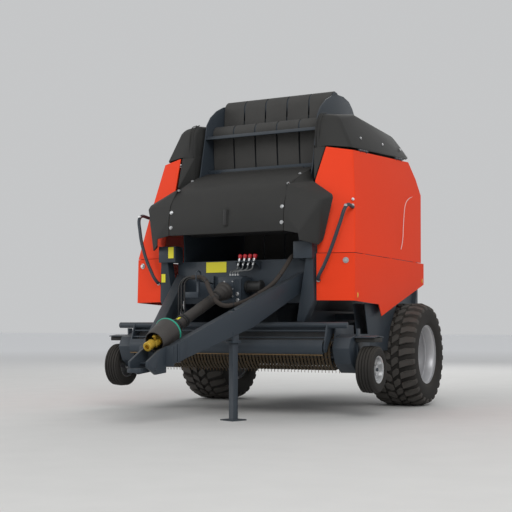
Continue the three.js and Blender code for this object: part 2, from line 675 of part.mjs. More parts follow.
function pickupFrame() {
  const pieces = [block(-PICKUP_HALF - 5, PICKUP_HALF + 5, -1270, -1210, 440, 500)];
  for (const side of [-1, 1]) {
    const span = (a, b) => [side * a, side * b].sort((p, q) => p - q);
    const cheek = [[-1250, 500], [-1235, 430], [-1330, 390], [-1560, 384], [-1700, 470], [-1745, 600],
      [-1720, 720], [-1696, 800], [-1640, 806], [-1300, 800]];
    pieces.push(plateX(cheek, ...span(PICKUP_HALF, PICKUP_HALF + 12)));
    pieces.push(plateX([[-1270, 445], [-1215, 440], [LIFT_Y + 40, LIFT_Z - 20], [LIFT_Y + 20, LIFT_Z + 36],
      [LIFT_Y - 24, LIFT_Z + 36], [LIFT_Y - 45, LIFT_Z], [-1272, 500]], ...span(RAIL_OUT + 8, RAIL_OUT + 33)));
    pieces.push(barX(...span(PICKUP_HALF - RUN - 26, PICKUP_HALF + 5), ...GUARD_PIVOT, 13, 12));
  }
  const bores = [-1, 1].map((side) => barX(...[side * (RAIL_OUT - 5), side * (RAIL_OUT + 60)].sort((a, b) => a - b),
    LIFT_Y, LIFT_Z, LIFT_PIN + 0.7, 14));
  const shaftHoles = [-1, 1].map((side) => barX(...[side * (PICKUP_HALF - 5), side * (PICKUP_HALF + 20)].sort((a, b) => a - b),
    REEL_Y, REEL_Z, 30.8, 16));
  return cut(join(...pieces), ...bores, ...shaftHoles);
}

// The curved cover over the front of the reel.
function pickupStrippers() {
  const end = PICKUP_HALF - SEAT;
  const line = [[-1272, 452], [-1360, 430], ...arc(REEL_Y, REEL_Z, DRUM_RADIUS, 250, 95, 8), [-1255, 792]];
  return plateX(strip(line, -5), -end, end);
}

// The reel: a shaft with discs, and the bars that carry the tines.
function pickupReel() {
  const pieces = [barX(-PICKUP_HALF - 10, PICKUP_HALF + 10, REEL_Y, REEL_Z, 30, 16)];
  for (const x of [-PICKUP_HALF + 24, -6, PICKUP_HALF - 36]) {
    pieces.push(barX(x, x + 12, REEL_Y, REEL_Z, TINE_BAR + 20, 12));
  }
  for (let k = 0; k < 4; k++) {
    const turn = (Math.PI * k) / 2 + 0.3;
    const place = [REEL_Y + TINE_BAR * Math.cos(turn), REEL_Z + TINE_BAR * Math.sin(turn)];
    pieces.push(barX(-PICKUP_HALF + 24, PICKUP_HALF - 24, ...place, 14, 6));
  }
  return join(...pieces);
}

// The end cover of the pickup, with the arm that carries the gauge wheel.
function pickupSide() {
  const x0 = PICKUP_HALF + 12 + SEAT;
  const cover = [[-1290, 430], [-1400, 388], [-1600, 384], [-1730, 470], [-1790, 600], [-1740, 690], [-1600, 720],
    [-1300, 720]];
  const shell = cut(plateX(cover, x0, PICKUP_HALF + 165), barX(x0 - 5, x0 + 30, REEL_Y, REEL_Z, 45, 16));
  const arm = plateX([[-1620, 770], [-1560, 770], [GAUGE_Y + 35, GAUGE_Z - 30], [GAUGE_Y - 35, GAUGE_Z - 30]],
    PICKUP_HALF + 164, PICKUP_HALF + 180);
  const axle = barX(PICKUP_HALF + 170, GAUGE_X + 60, GAUGE_Y, GAUGE_Z, GAUGE_AXLE, 20);
  const brow = plateX([[-1680, 690], [-1560, 700], [-1440, 690], [-1440, 698], [-1560, 709], [-1680, 698]],
    PICKUP_HALF + 160, GAUGE_X + 70);
  return join(shell, arm, axle, brow);
}

function gaugeWheel() {
  const half = GAUGE_WIDTH / 2;
  const bore = GAUGE_AXLE + 0.9;
  const tread = GAUGE_RADIUS;
  const profile = [[-half + 20, 110], [-half, 150], [-half + 20, tread], [half - 20, tread], [half, 150],
    [half - 24, 100], [12, 90], [20, 32], [40, 32], [40, bore], [-60, bore], [-60, 32], [6, 32], [-2, 90],
    [-half + 24, 96]];
  return spinX(profile, GAUGE_X, GAUGE_Y, GAUGE_Z, 20);
}

// The crop guard ahead of the pickup: a tube, an angle bar and the arms of the press roller.
function windGuard() {
  const pieces = [barX(-PICKUP_HALF - 150, PICKUP_HALF + 150, -1780, 800, 27, 12)];
  const inner = PICKUP_HALF - RUN - 12;
  pieces.push(block(-inner + 5, inner - 5, -1700, -1660, 750, 790));
  for (const side of [-1, 1]) {
    const [x0, x1] = [side * inner, side * (inner - 14)].sort((a, b) => a - b);
    const link = [[-1643, 762], [-1648, 800], [-1770, 826], [-1806, 815], [-1885, 600], [-1870, 565], [-1830, 565],
      [-1800, 620], [-1712, 722], [-1664, 748]];
    pieces.push(plateX(link, x0, x1));
  }
  const bores = [-1, 1].map((side) => barX(...[side * (inner - 50), side * (inner + 10)].sort((a, b) => a - b),
    ...GUARD_PIVOT, 13.7, 12));
  const axles = [-1, 1].map((side) => barX(...[side * (inner - 30), side * (inner + 10)].sort((a, b) => a - b),
    -1850, 598, 12.7, 12));
  return cut(join(...pieces), ...bores, ...axles);
}

function pressRoller() {
  const end = PICKUP_HALF - RUN - 12;
  return join(barX(-end, end, -1850, 598, 12, 12), barX(-end + 22, end - 22, -1850, 598, PRESS_RADIUS, 16));
}

// ---- tailgate ----

function tailgateFrame() {
  const outline = [[358, 2684], [430, 2742], [900, 2728], [1250, 2580], [1500, 2300], [1640, 2000], [1700, 1700],
    [1700, 1120], [1640, 900], [1420, 680], [1250, 610], [900, 560], [493, 600]];
  const pieces = [];
  for (const side of [-1, 1]) {
    const span = (a, b) => [side * a, side * b].sort((p, q) => p - q);
    pieces.push(plateX(outline, ...span(CHAMBER_HALF, OUT)));
    const ear = [[PIVOT_Y - 44, PIVOT_Z + 20], [PIVOT_Y - 20, PIVOT_Z + 44], [460, 2720], [520, 2620], [400, 2560],
      [PIVOT_Y - 30, PIVOT_Z - 44]];
    pieces.push(plateX(ear, ...span(OUT + 1, OUT + 13)));
    pieces.push(plateX([[380, 2680], [450, 2710], [500, 2620], [400, 2580]], ...span(OUT - 2, OUT + 3)));
    pieces.push(barX(...span(OUT - 2, CYLINDER_X - 23), ...CYLINDER_EYE, 42, 16));
    const rim = strip([[1250, 2480], [1440, 2230], [1570, 1960], [1630, 1690], [1630, 1140], [1560, 930]], -60);
    pieces.push(plateX(rim, ...span(OUT - 2, OUT + 40)));
  }
  pieces.push(block(-OUT + 2, OUT - 2, 1640, 1752, 1040, 1180));
  pieces.push(barX(-CHAMBER_HALF - 4, CHAMBER_HALF + 4, 1560, 2120, 40, 16));
  const bores = [-1, 1].map((side) => barX(...[side * (OUT - 2), side * (OUT + 30)].sort((a, b) => a - b),
    PIVOT_Y, PIVOT_Z, PIVOT_PIN + 0.8, 16));
  return cut(join(...pieces), ...bores);
}

function tailgateBelts() {
  const angles = [286, 345, 48, 92];
  const rollers = angles.map((angle) => barX(-ROLLER_END, ROLLER_END, ...besideBale(angle), ROLLER_RADIUS + 5, 12));
  const run = arc(BALE_Y, BALE_Z, BALE_RADIUS + BELT_THICK, 96, -78, 12);
  return join(...rollers, ...belts(run));
}

const CYLINDER_RUN = [CYLINDER_EYE[0] - CYLINDER_FOOT[0], CYLINDER_EYE[1] - CYLINDER_FOOT[1]];
const CYLINDER_LENGTH = Math.hypot(...CYLINDER_RUN);

const alongCylinder = (distance) => [
  CYLINDER_X,
  CYLINDER_FOOT[0] + (CYLINDER_RUN[0] * distance) / CYLINDER_LENGTH,
  CYLINDER_FOOT[1] + (CYLINDER_RUN[1] * distance) / CYLINDER_LENGTH,
];

function cylinderBarrel() {
  const tube = bar(alongCylinder(34), alongCylinder(CYLINDER_LENGTH - 150), BARREL_RADIUS, 12);
  const eye = barX(CYLINDER_X - 14, CYLINDER_X + 14, ...CYLINDER_FOOT, 38, 16);
  const bore = bar(alongCylinder(80), alongCylinder(CYLINDER_LENGTH), ROD_RADIUS + 2, 12);
  const pinHole = barX(CYLINDER_X - 30, CYLINDER_X + 40, ...CYLINDER_FOOT, 14.8, 12);
  return cut(join(tube, eye), bore, pinHole);
}

function cylinderRod() {
  const rod = bar(alongCylinder(120), alongCylinder(CYLINDER_LENGTH - 20), ROD_RADIUS, 12);
  const eye = barX(CYLINDER_X - 22.2, CYLINDER_X + 14, ...CYLINDER_EYE, 38, 16);
  return join(rod, eye);
}

// ---- hoses ----

function hoseRack() {
  const [x, y, z] = RACK;
  const post = block(-290, -262, PLATE_Y - 30, PLATE_Y - SEAT, 1150, 1260);
  const arm = bar([-276, PLATE_Y - 20, z], [x, y, z], 8, 8);
  const seat = bar([x, y - 44, z], [x, y + 44, z], 8, 8);
  const arch = pipe([[x, y - 40, z], [x, y - 40, z + 60], [x, y, z + 88], [x, y + 40, z + 60], [x, y + 40, z]], 7, 6, 10);
  const stem = block(x - 10, x + 10, y - 15, y + 5, z - 120, z + 2);
  const sockets = block(x - 120, x + 10, y - 25, y + 5, z - 150, z - 100);
  return join(post, arm, seat, arch, stem, sockets);
}

const RACK = [-60, -2200, 1190];
const CONDUIT_RADIUS = 20;
const LAID_Z = RACK[2] + 8 + CONDUIT_RADIUS + 2 * SEAT;
const CONDUIT = [
  [579.5, -1530, 1440], [566, -1600, 1420], [548, -1680, 1340], [515, -1745, 1250], [466, -1790, 1170],
  [417, -1830, 1120], [365, -1900, 1070], [322, -1980, 1024], [285, -2080, 990], [262, -2160, 974],
  [215, -2215, 968], [165, -2240, 990], [118, -2240, 1040], [72, -2232, 1105], [28, -2218, 1180],
  [-16, -2205, 1213], [-60, -2200, LAID_Z], [-125, -2200, LAID_Z],
];

function supplyConduit() {
  return pipe(CONDUIT, CONDUIT_RADIUS, 8, 24);
}

// ---- the assembly ----

add("axle_beam", axleBeam(), STEEL);
pair("tyre", mainTyre(), RUBBER);
pair("rim", mainRim(), RIM);
pair("side_rail", sideRail(), STEEL);
pair("chamber_wall", chamberWall(), STEEL);
add("front_plate", frontPlate(), STEEL);
pair("front_post", frontPost(), STEEL);
add("drawbar_arm_left", drawbarArm([onArm(jackHole())]), STEEL);
add("drawbar_arm_right", drawbarArm([]), STEEL).scale.x = -1;
add("drawbar_head", drawbarHead(), STEEL);
add("tow_eye", towEye(), STEEL);
add("jack_sleeve", jackSleeve(), STEEL);
add("jack_leg", jackLeg(), STEEL);
add("drive_shaft", driveShaft(), YELLOW);
add("shaft_guard", shaftGuard(), BLACK);
add("gearbox", gearbox(), STEEL);
add("hood_lid", hoodLid(), BLACK);
pair("hood_wing", hoodWing(), BLACK);
add("sill_bar", sillBar(), STEEL);
add("mid_bar", midBar(), STEEL);
add("net_roll", netRoll(), NET);
add("front_belts", frontBelts(), BELT);
add("chamber_belts", chamberBelts(), BELT);
pair("roof_cover", roofCover(), BLACK);
pair("door_upper", upperPanel(), RED);
pair("door_lower", lowerPanel(), RED);
pair("grab_bar", grabBar(), STEEL);
pair("wheel_guard", wheelGuard(), STEEL);
add("throat_floor", throatFloor(), STEEL);
add("feed_rotor", feedRotor(), STEEL);
add("floor_roller", floorRoller(), STEEL);
add("pickup_frame", pickupFrame(), STEEL);
add("pickup_strippers", pickupStrippers(), STEEL);
add("pickup_reel", pickupReel(), TINE);
pair("pickup_side", pickupSide(), STEEL);
pair("gauge_wheel", gaugeWheel(), RUBBER);
add("wind_guard", windGuard(), STEEL);
add("press_roller", pressRoller(), STEEL);
add("tailgate_frame", tailgateFrame(), STEEL);
add("tailgate_belts", tailgateBelts(), BELT);
pair("cylinder_barrel", cylinderBarrel(), STEEL);
pair("cylinder_rod", cylinderRod(), RIM);
add("hose_rack", hoseRack(), STEEL);
add("supply_conduit", supplyConduit(), RUBBER);

export default machine;
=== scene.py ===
"""A round baler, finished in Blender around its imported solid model.

Each operator makes one piece or one group of like pieces. Lengths are in metres unless
a name says otherwise; at() takes millimetres measured from the road wheels' axle line.
"""

import math

import bpy
from mathutils import Matrix, Vector


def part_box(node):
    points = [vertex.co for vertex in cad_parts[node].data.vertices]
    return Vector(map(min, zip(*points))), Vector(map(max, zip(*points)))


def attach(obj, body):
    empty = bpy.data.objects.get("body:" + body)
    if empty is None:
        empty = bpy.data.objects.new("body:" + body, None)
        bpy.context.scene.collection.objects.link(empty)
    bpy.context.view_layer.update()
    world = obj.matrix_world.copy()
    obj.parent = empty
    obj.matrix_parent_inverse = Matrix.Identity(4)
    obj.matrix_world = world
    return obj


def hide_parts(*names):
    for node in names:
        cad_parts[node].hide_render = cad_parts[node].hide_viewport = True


bl_info = {
    "name": "Round baler",
    "version": (1, 0, 0),
    "blender": (4, 5, 0),
    "location": "View3D > Sidebar > Baler",
    "description": "Makes a towed round baler around its packed solid model",
    "category": "Add Mesh",
}

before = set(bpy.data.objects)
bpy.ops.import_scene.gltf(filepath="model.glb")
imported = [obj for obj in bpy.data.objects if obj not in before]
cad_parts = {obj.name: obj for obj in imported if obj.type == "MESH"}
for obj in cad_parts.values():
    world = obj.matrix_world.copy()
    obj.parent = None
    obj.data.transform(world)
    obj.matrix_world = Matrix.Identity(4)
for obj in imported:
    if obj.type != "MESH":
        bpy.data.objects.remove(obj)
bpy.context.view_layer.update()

# ---- places taken from the solid model ----

TYRE_LOW, TYRE_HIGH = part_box("tyre_left")
AXLE_Y = (TYRE_LOW.y + TYRE_HIGH.y) / 2
AXLE_Z = (TYRE_LOW.z + TYRE_HIGH.z) / 2
TRACK_HALF = (TYRE_LOW.x + TYRE_HIGH.x) / 2
CHAMBER_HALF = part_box("net_roll")[1].x
OUT = CHAMBER_HALF * 1000 + 12.3  # outer face of the chamber walls, mm
BODY_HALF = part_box("door_lower_left")[1].x * 1000
SIDES = (("left", 1), ("right", -1))


def at(x, y, z):
    """A place in millimetres, with y measured from the axle line."""
    return Vector((x / 1000, y / 1000 + AXLE_Y, z / 1000))


# ---- what a user may change ----


class BalerSizes(bpy.types.PropertyGroup):
    lug_height: bpy.props.FloatProperty(
        name="Lug height", description="How far the road tyres' lugs stand up",
        default=0.024, min=0.005, max=0.03, unit="LENGTH")
    lug_count: bpy.props.IntProperty(
        name="Lugs", description="Lugs round each row of a road tyre", default=28, min=8, max=60)
    rib_count: bpy.props.IntProperty(
        name="Ribs", description="Ribs round each gauge tyre", default=5, min=2, max=8)
    band_pitch: bpy.props.FloatProperty(
        name="Band pitch", description="From one pickup band to the next",
        default=0.034, min=0.02, max=0.1, unit="LENGTH")
    edge: bpy.props.FloatProperty(
        name="Edge", description="Rounding of the steelwork's edges",
        default=0.003, min=0.0005, max=0.01, unit="LENGTH")
    belt_count: bpy.props.IntProperty(
        name="Belts", description="Belts side by side", default=5, min=2, max=8)


def colour(name, default, description):
    """A colour that a user may change, given as an sRGB hex colour."""
    return bpy.props.FloatVectorProperty(
        name=name, description=description, subtype="COLOR", size=3, min=0, max=1,
        default=linear(default))


def linear(hex_colour):
    """An sRGB hex colour as linear red, green and blue."""
    parts = [int(hex_colour[i:i + 2], 16) / 255 for i in (1, 3, 5)]
    return tuple(c / 12.92 if c <= 0.04045 else ((c + 0.055) / 1.055) ** 2.4 for c in parts)


class BalerColours(bpy.types.PropertyGroup):
    panel: colour("Side panels", "#F4441F", "Enamel of the side doors")
    steel: colour("Steelwork", "#323A42", "Paint of the frame and drawbar")
    plastic: colour("Covers", "#333332", "Moulded hood and roof covers")
    rubber: colour("Tyres", "#2F2D2B", "Road and gauge tyres")
    rim: colour("Rims", "#B9B9BB", "Paint of the road wheels' rims")
    floor: colour("Floor", "#D6D5D2", "Studio floor")


# ---- small tools for modelling ----


def deselect():
    """Clears the selection."""
    bpy.ops.object.select_all(action="DESELECT")


def pick(*pieces):
    """Selects only these pieces, the first one active."""
    deselect()
    for piece in pieces:
        piece.select_set(True)
    bpy.context.view_layer.objects.active = pieces[0]


def edit(piece, *steps):
    """Runs mesh operators, each with its settings, on the whole of a piece."""
    pick(piece)
    bpy.ops.object.mode_set(mode="EDIT")
    bpy.ops.mesh.select_all(action="SELECT")
    for step, settings in steps:
        step(**settings)
    bpy.ops.object.mode_set(mode="OBJECT")


ALL = (bpy.ops.mesh.select_all, {"action": "SELECT"})
MERGE = (bpy.ops.mesh.remove_doubles, {"threshold": 0.00002})
OUTWARD = (bpy.ops.mesh.normals_make_consistent, {"inside": False})


def ring(name, corners):
    """A closed loop: a circle with a vertex for each corner, each pulled to its place."""
    deselect()
    bpy.ops.mesh.primitive_circle_add(vertices=len(corners), radius=1)
    piece = bpy.context.object
    piece.name = name
    for vertex, corner in zip(piece.data.vertices, corners):
        vertex.co = corner
    return piece


def slab(name, corners, push):
    """A flat outline, filled and extruded by a vector."""
    piece = ring(name, corners)
    edit(piece,
         (bpy.ops.mesh.edge_face_add, {}),
         (bpy.ops.mesh.extrude_region_move, {"TRANSFORM_OT_translate": {"value": push}}),
         ALL, OUTWARD)
    return piece


def plate_x(name, outline, x0, x1):
    """An outline of (y, z) in millimetres, thick from x0 to x1."""
    return slab(name, [at(x0, y, z) for y, z in outline], ((x1 - x0) / 1000, 0, 0))


def plate_y(name, outline, y0, y1):
    """An outline of (x, z) in millimetres, thick from y0 to y1."""
    return slab(name, [at(x, y0, z) for x, z in outline], (0, (y1 - y0) / 1000, 0))


def box(name, low, high):
    """A block between two corners in millimetres, with y from the axle line."""
    a, b = at(*low), at(*high)
    deselect()
    bpy.ops.mesh.primitive_cube_add(size=1, location=(a + b) / 2, scale=b - a)
    piece = bpy.context.object
    piece.name = name
    return piece


def turned(name, profile, steps=64, centre=(0, 0, 0)):
    """A closed profile of (along X, radius), spun about the line through centre."""
    middle = Vector(centre)
    piece = ring(name, [middle + Vector((along, 0, radius)) for along, radius in profile])
    edit(piece,
         (bpy.ops.mesh.spin, {"steps": steps, "angle": math.tau, "center": middle, "axis": (1, 0, 0)}),
         ALL, MERGE, OUTWARD)
    return piece


def line_matrix(start, end):
    """Takes the X axis at the origin to the line from start to end."""
    along = (end - start).normalized()
    side = Vector((0, 0, 1)).cross(along)
    side = side.normalized() if side.length > 1e-4 else Vector((0, 1, 0))
    turn = Matrix((along, side, along.cross(side))).transposed().to_4x4()
    return Matrix.Translation(start) @ turn


def lay(piece, matrix):
    """Moves a piece by a matrix and leaves its place in its mesh."""
    piece.matrix_world = matrix @ piece.matrix_world
    pick(piece)
    bpy.ops.object.transform_apply(location=True, rotation=True, scale=True)
    return piece


def rod(name, start, end, radius, steps=32, end_radius=None):
    """A round bar between two places, with small chamfers."""
    last = radius if end_radius is None else end_radius
    size = (end - start).length
    ease = min(0.002, radius * 0.2)
    profile = [(0, 0), (0, radius - ease), (ease, radius), (size - ease, last), (size, last - ease), (size, 0)]
    return lay(turned(name, profile, steps), line_matrix(start, end))


def tube(name, points, radius, fine=4, along=8):
    """A round hose or pipe along a smooth curve through points; stays a curve."""
    deselect()
    bpy.ops.curve.primitive_bezier_curve_add()
    piece = bpy.context.object
    piece.name = name
    piece.matrix_world = Matrix.Identity(4)
    curve = piece.data
    curve.splines.clear()
    spline = curve.splines.new("BEZIER")
    spline.bezier_points.add(len(points) - 1)
    for knot, point in zip(spline.bezier_points, points):
        knot.co = point
        knot.handle_left_type = knot.handle_right_type = "AUTO"
    curve.bevel_depth = radius
    curve.bevel_resolution = fine
    curve.resolution_u = along
    curve.use_fill_caps = True
    return piece


def pipe(name, points, radius, fine=4, along=8):
    """A bent tube as a mesh."""
    piece = tube(name, points, radius, fine, along)
    pick(piece)
    bpy.ops.object.convert(target="MESH")
    edit(piece, MERGE, OUTWARD)
    return piece


def modified(piece, kind, **settings):
    """Adds a modifier with its settings and applies it."""
    pick(piece)
    added = piece.modifiers.new(kind.title(), kind)
    for key, value in settings.items():
        setattr(added, key, value)
    bpy.ops.object.modifier_apply(modifier=added.name)
    return piece


def eased(piece, width, segments=2, angle=30):
    """Rounds the edges sharper than angle and shades the rest smooth."""
    modified(piece, "BEVEL", width=width, segments=segments, limit_method="ANGLE",
             angle_limit=math.radians(angle), use_clamp_overlap=True)
    return smooth(piece)


def smooth(piece, angle=32):
    """Shades a piece smooth across edges flatter than angle."""
    pick(piece)
    bpy.ops.object.shade_smooth_by_angle(angle=math.radians(angle))
    return piece


def joined(name, *pieces):
    """Several pieces as one object."""
    pick(*pieces)
    if len(pieces) > 1:
        bpy.ops.object.join()
    pieces[0].name = name
    return pieces[0]


def copied(piece, name, matrix):
    """A copy with its own mesh, moved by a matrix."""
    pick(piece)
    bpy.ops.object.duplicate(linked=False)
    copy = bpy.context.object
    copy.name = name
    return lay(copy, matrix)


def rounds(piece, name, count, step, centre):
    """The piece repeated count times, turned by step about the X line through centre."""
    middle = Vector(centre)
    out = Matrix.Translation(middle)
    copies = [piece]
    for i in range(1, count):
        turn = out @ Matrix.Rotation(step * i, 4, "X") @ out.inverted()
        copies.append(copied(piece, name, turn))
    return joined(name, *copies)


def mirrored(piece, name):
    """The same piece on the other side of the machine."""
    copy = copied(piece, name, Matrix.Scale(-1, 4, (1, 0, 0)))
    edit(copy, OUTWARD)
    return copy


def dress(piece, body, look, stands_for=()):
    """Paints a piece, lets it ride on a body and hides the solids that it stands for."""
    piece.data.materials.clear()
    piece.data.materials.append(LOOKS[look])
    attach(piece, body)
    if stands_for:
        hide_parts(*stands_for)
    return piece


def settle(piece, body, look, slot, stands_for=()):
    """Puts a mesh's origin at the frame's and dresses it."""
    pick(piece)
    bpy.ops.object.transform_apply(location=True, rotation=True, scale=True)
    return dress(piece, body, look, stands_for)


def both_sides(piece, name, body, look, slot, stands_for=()):
    """Settles a left-hand piece and its mirror image; {} in a name stands for the side."""
    other = mirrored(piece, name.format("right"))
    piece.name = name.format("left")
    for made, side in ((piece, "left"), (other, "right")):
        settle(made, body.format(side), look, slot, [n.format(side) for n in stands_for])


def eased_node(node, body, look, slot, width=None, angle=30, segments=2):
    """A copy of a solid's mesh with whole flat faces and rounded edges, in its place."""
    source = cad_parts[node]
    piece = bpy.data.objects.new(node + "_made", source.data.copy())
    bpy.context.scene.collection.objects.link(piece)
    edit(piece, MERGE, (bpy.ops.mesh.dissolve_limited, {"angle_limit": math.radians(0.6)}))
    eased(piece, width or bpy.context.scene.baler_sizes.edge, segments, angle)
    return settle(piece, body, look, slot, [node])


def filleted(line, radius, steps):
    """A line of (y, z) with its inner corners rounded."""
    points = [Vector((*p, 0)) for p in line]
    out = [tuple(line[0])]
    for before, corner, after in zip(points, points[1:], points[2:]):
        back, on = (before - corner), (after - corner)
        reach = min(radius, back.length * 0.45, on.length * 0.45)
        start, end = corner + back.normalized() * reach, corner + on.normalized() * reach
        for k in range(steps + 1):
            t = k / steps
            p = start.lerp(corner, t).lerp(corner.lerp(end, t), t)
            out.append((p.x, p.y))
    return out + [tuple(line[-1])]


def band(line, thick):
    """The closed outline of a line given a thickness, to its right where thick is positive."""
    points = [Vector((*p, 0)) for p in line]
    far = []
    for i, p in enumerate(points):
        ahead = (points[min(i + 1, len(points) - 1)] - points[max(i - 1, 0)]).normalized()
        far.append((p.x + ahead.y * thick, p.y - ahead.x * thick))
    return [tuple(p) for p in line] + far[::-1]


def arc(y, z, radius, start, end, steps):
    """Places round a centre, from one angle to another, in degrees."""
    turns = [math.radians(start + (end - start) * k / steps) for k in range(steps + 1)]
    return [(y + radius * math.cos(a), z + radius * math.sin(a)) for a in turns]


def sheeted(name, points, faces, outward, skin, crease, sharper=5):
    """A pressed sheet between points in millimetres, skin thick inwards.

    Creases sharper than an angle are rounded, and the rest is shaded smooth."""
    leaves = []
    for face in faces:
        leaf = ring(name, [at(*points[i]) for i in face])
        edit(leaf, (bpy.ops.mesh.edge_face_add, {}))
        leaves.append(leaf)
    sheet = joined(name, *leaves)
    edit(sheet, MERGE, OUTWARD)
    facing = sum((p.normal * p.area for p in sheet.data.polygons), Vector())
    if facing.dot(Vector(outward)) < 0:
        edit(sheet, (bpy.ops.mesh.flip_normals, {}))
    modified(sheet, "BEVEL", width=crease, segments=3, limit_method="ANGLE", angle_limit=math.radians(sharper))
    modified(sheet, "SOLIDIFY", thickness=skin, offset=-1, use_even_offset=True)
    return smooth(sheet, 40)


def hulled(name, points):
    """The tightest closed body round points in millimetres."""
    piece = ring(name, [at(*p) for p in points])
    edit(piece, (bpy.ops.mesh.convex_hull, {}), OUTWARD,
         (bpy.ops.mesh.dissolve_limited, {"angle_limit": math.radians(2)}))
    return piece


def drop_faces(piece, way, least):
    """Removes the faces that face a way."""
    edit(piece, (bpy.ops.mesh.select_mode, {"type": "FACE"}), (bpy.ops.mesh.select_all, {"action": "DESELECT"}))
    for face in piece.data.polygons:
        face.select = face.normal.dot(way) > least
    pick(piece)
    bpy.ops.object.mode_set(mode="EDIT")
    bpy.ops.mesh.delete(type="FACE")
    bpy.ops.object.mode_set(mode="OBJECT")


def bolts(name, fixings, radius):
    """Hexagon bolts on washers, one at each (place, direction)."""
    r = radius
    washer = turned("washer", [(-0.1 * r, 0), (-0.1 * r, 1.35 * r), (0.12 * r, 1.35 * r), (0.2 * r, 1.25 * r),
                               (0.2 * r, 0)], 24)
    head = turned("head", [(0.15 * r, 0), (0.15 * r, r), (0.7 * r, r), (0.85 * r, 0.8 * r), (0.85 * r, 0)], 6)
    first = joined(name, smooth(washer, 35), head)
    made = [copied(first, name, line_matrix(place, place + way)) for place, way in fixings]
    pick(first)
    bpy.ops.object.delete()
    return joined(name, *made)


# ---- materials ----

LOOKS = {}
PAINT = ("powder_coated_steel", "steel")  # a look, and the name of a slot
# SHADE: the frame's paint darkened, as painted shade.
SHADE = ("shadowed_steel", "steel")
ZINC = ("bright_zinc", "bolt")
MOULDED = ("moulded_polyethylene", "black_plastic")
RUBBER = ("hose_rubber", "black_plastic")


def add_node(tree, kind, inputs=None, **settings):
    """Adds a node; an input is a value, or a (node, output) pair to link from."""
    made = tree.nodes.new(kind)
    for key, value in settings.items():
        setattr(made, key, value)
    for key, value in (inputs or {}).items():
        if isinstance(value, tuple) and isinstance(value[0], bpy.types.Node):
            tree.links.new(value[0].outputs[value[1]], made.inputs[key])
        else:
            made.inputs[key].default_value = value
    return made


def blank(name):
    """The node tree of a new, empty material, with a source of object coordinates."""
    look = bpy.data.materials.new(name)
    look.use_nodes = True
    tree = look.node_tree
    tree.nodes.clear()
    LOOKS[name] = look
    return tree, add_node(tree, "ShaderNodeTexCoord")


def output(tree, shader):
    """Ends a material in a shader."""
    add_node(tree, "ShaderNodeOutputMaterial", {"Surface": (shader, "BSDF")})


def noise(tree, coords, scale, detail):
    """Noise that stays still in the piece, with scale repeats to the metre."""
    return add_node(tree, "ShaderNodeTexNoise", {
        "Vector": (coords, "Object"), "Scale": scale, "Detail": detail})


def mixed(tree, factor, low, high):
    """A colour output between two ends, each red, green and blue or another colour output."""
    low, high = ((*end, 1) if len(end) == 3 else end for end in (low, high))
    made = add_node(tree, "ShaderNodeMix", {"Factor": factor, "A": low, "B": high}, data_type="RGBA")
    return made, 2


def shade(rgb, by):
    """A colour made lighter or darker."""
    return tuple(min(1, c * by) for c in rgb)


def coated(name, rgb, roughness, grain, bump, metal=0.0, coat=0.0, patch=1.6, spread=0.16, dust=0.0,
           dust_colour="#8C8478", distance=0.0004, shine=0.5):
    """A surface with broad patches of tone, a fine grain in its gloss and relief, and dust.

    grain and patch are repeats to the metre, spread is how far the tone strays either
    way, and dust is the share that settles on what faces up."""
    tree, coords = blank(name)
    broad = noise(tree, coords, patch, 6.0)
    fine = noise(tree, coords, grain, 3.0)
    tone = mixed(tree, (broad, "Fac"), shade(rgb, 1 - spread), shade(rgb, 1 + spread))
    if dust:
        facing = add_node(tree, "ShaderNodeNewGeometry")
        parts = add_node(tree, "ShaderNodeSeparateXYZ", {"Vector": (facing, "Normal")})
        scatter = noise(tree, coords, 9.0, 8.0)
        settled = add_node(tree, "ShaderNodeMath", {0: (parts, "Z"), 1: (scatter, "Fac")},
                           operation="MULTIPLY", use_clamp=True)
        amount = add_node(tree, "ShaderNodeMath", {0: (settled, "Value"), 1: dust},
                          operation="MULTIPLY", use_clamp=True)
        tone = mixed(tree, (amount, "Value"), tone, linear(dust_colour))
    gloss = add_node(tree, "ShaderNodeMapRange", {
        "Value": (fine, "Fac"), "To Min": max(0.02, roughness - 0.08), "To Max": min(1.0, roughness + 0.1)})
    relief = add_node(tree, "ShaderNodeBump", {
        "Height": (fine, "Fac"), "Strength": bump, "Distance": distance})
    shader = add_node(tree, "ShaderNodeBsdfPrincipled", {
        "Base Color": tone, "Roughness": (gloss, "Result"), "Normal": (relief, "Normal"),
        "Metallic": metal, "Coat Weight": coat, "Coat Roughness": 0.12, "Specular IOR Level": shine})
    output(tree, shader)


def belting(name, rgb):
    """Vulcanised rubber belting: a fine cross-hatch pressed in, drawn at 9 mm to show."""
    tree, coords = blank(name)
    broad = noise(tree, coords, 5.0, 6.0)
    tone = mixed(tree, (broad, "Fac"), shade(rgb, 0.75), shade(rgb, 1.3))
    across, along = (
        add_node(tree, "ShaderNodeTexWave", {"Vector": (coords, "Object"), "Scale": 18.0, "Distortion": 0.4},
                 bands_direction=way) for way in "XZ")
    weave = add_node(tree, "ShaderNodeMath", {0: (across, "Fac"), 1: (along, "Fac")}, operation="MULTIPLY")
    relief = add_node(tree, "ShaderNodeBump", {"Height": (weave, "Value"), "Strength": 0.35, "Distance": 0.001})
    shader = add_node(tree, "ShaderNodeBsdfPrincipled", {
        "Base Color": tone, "Roughness": 0.78, "Normal": (relief, "Normal")})
    output(tree, shader)


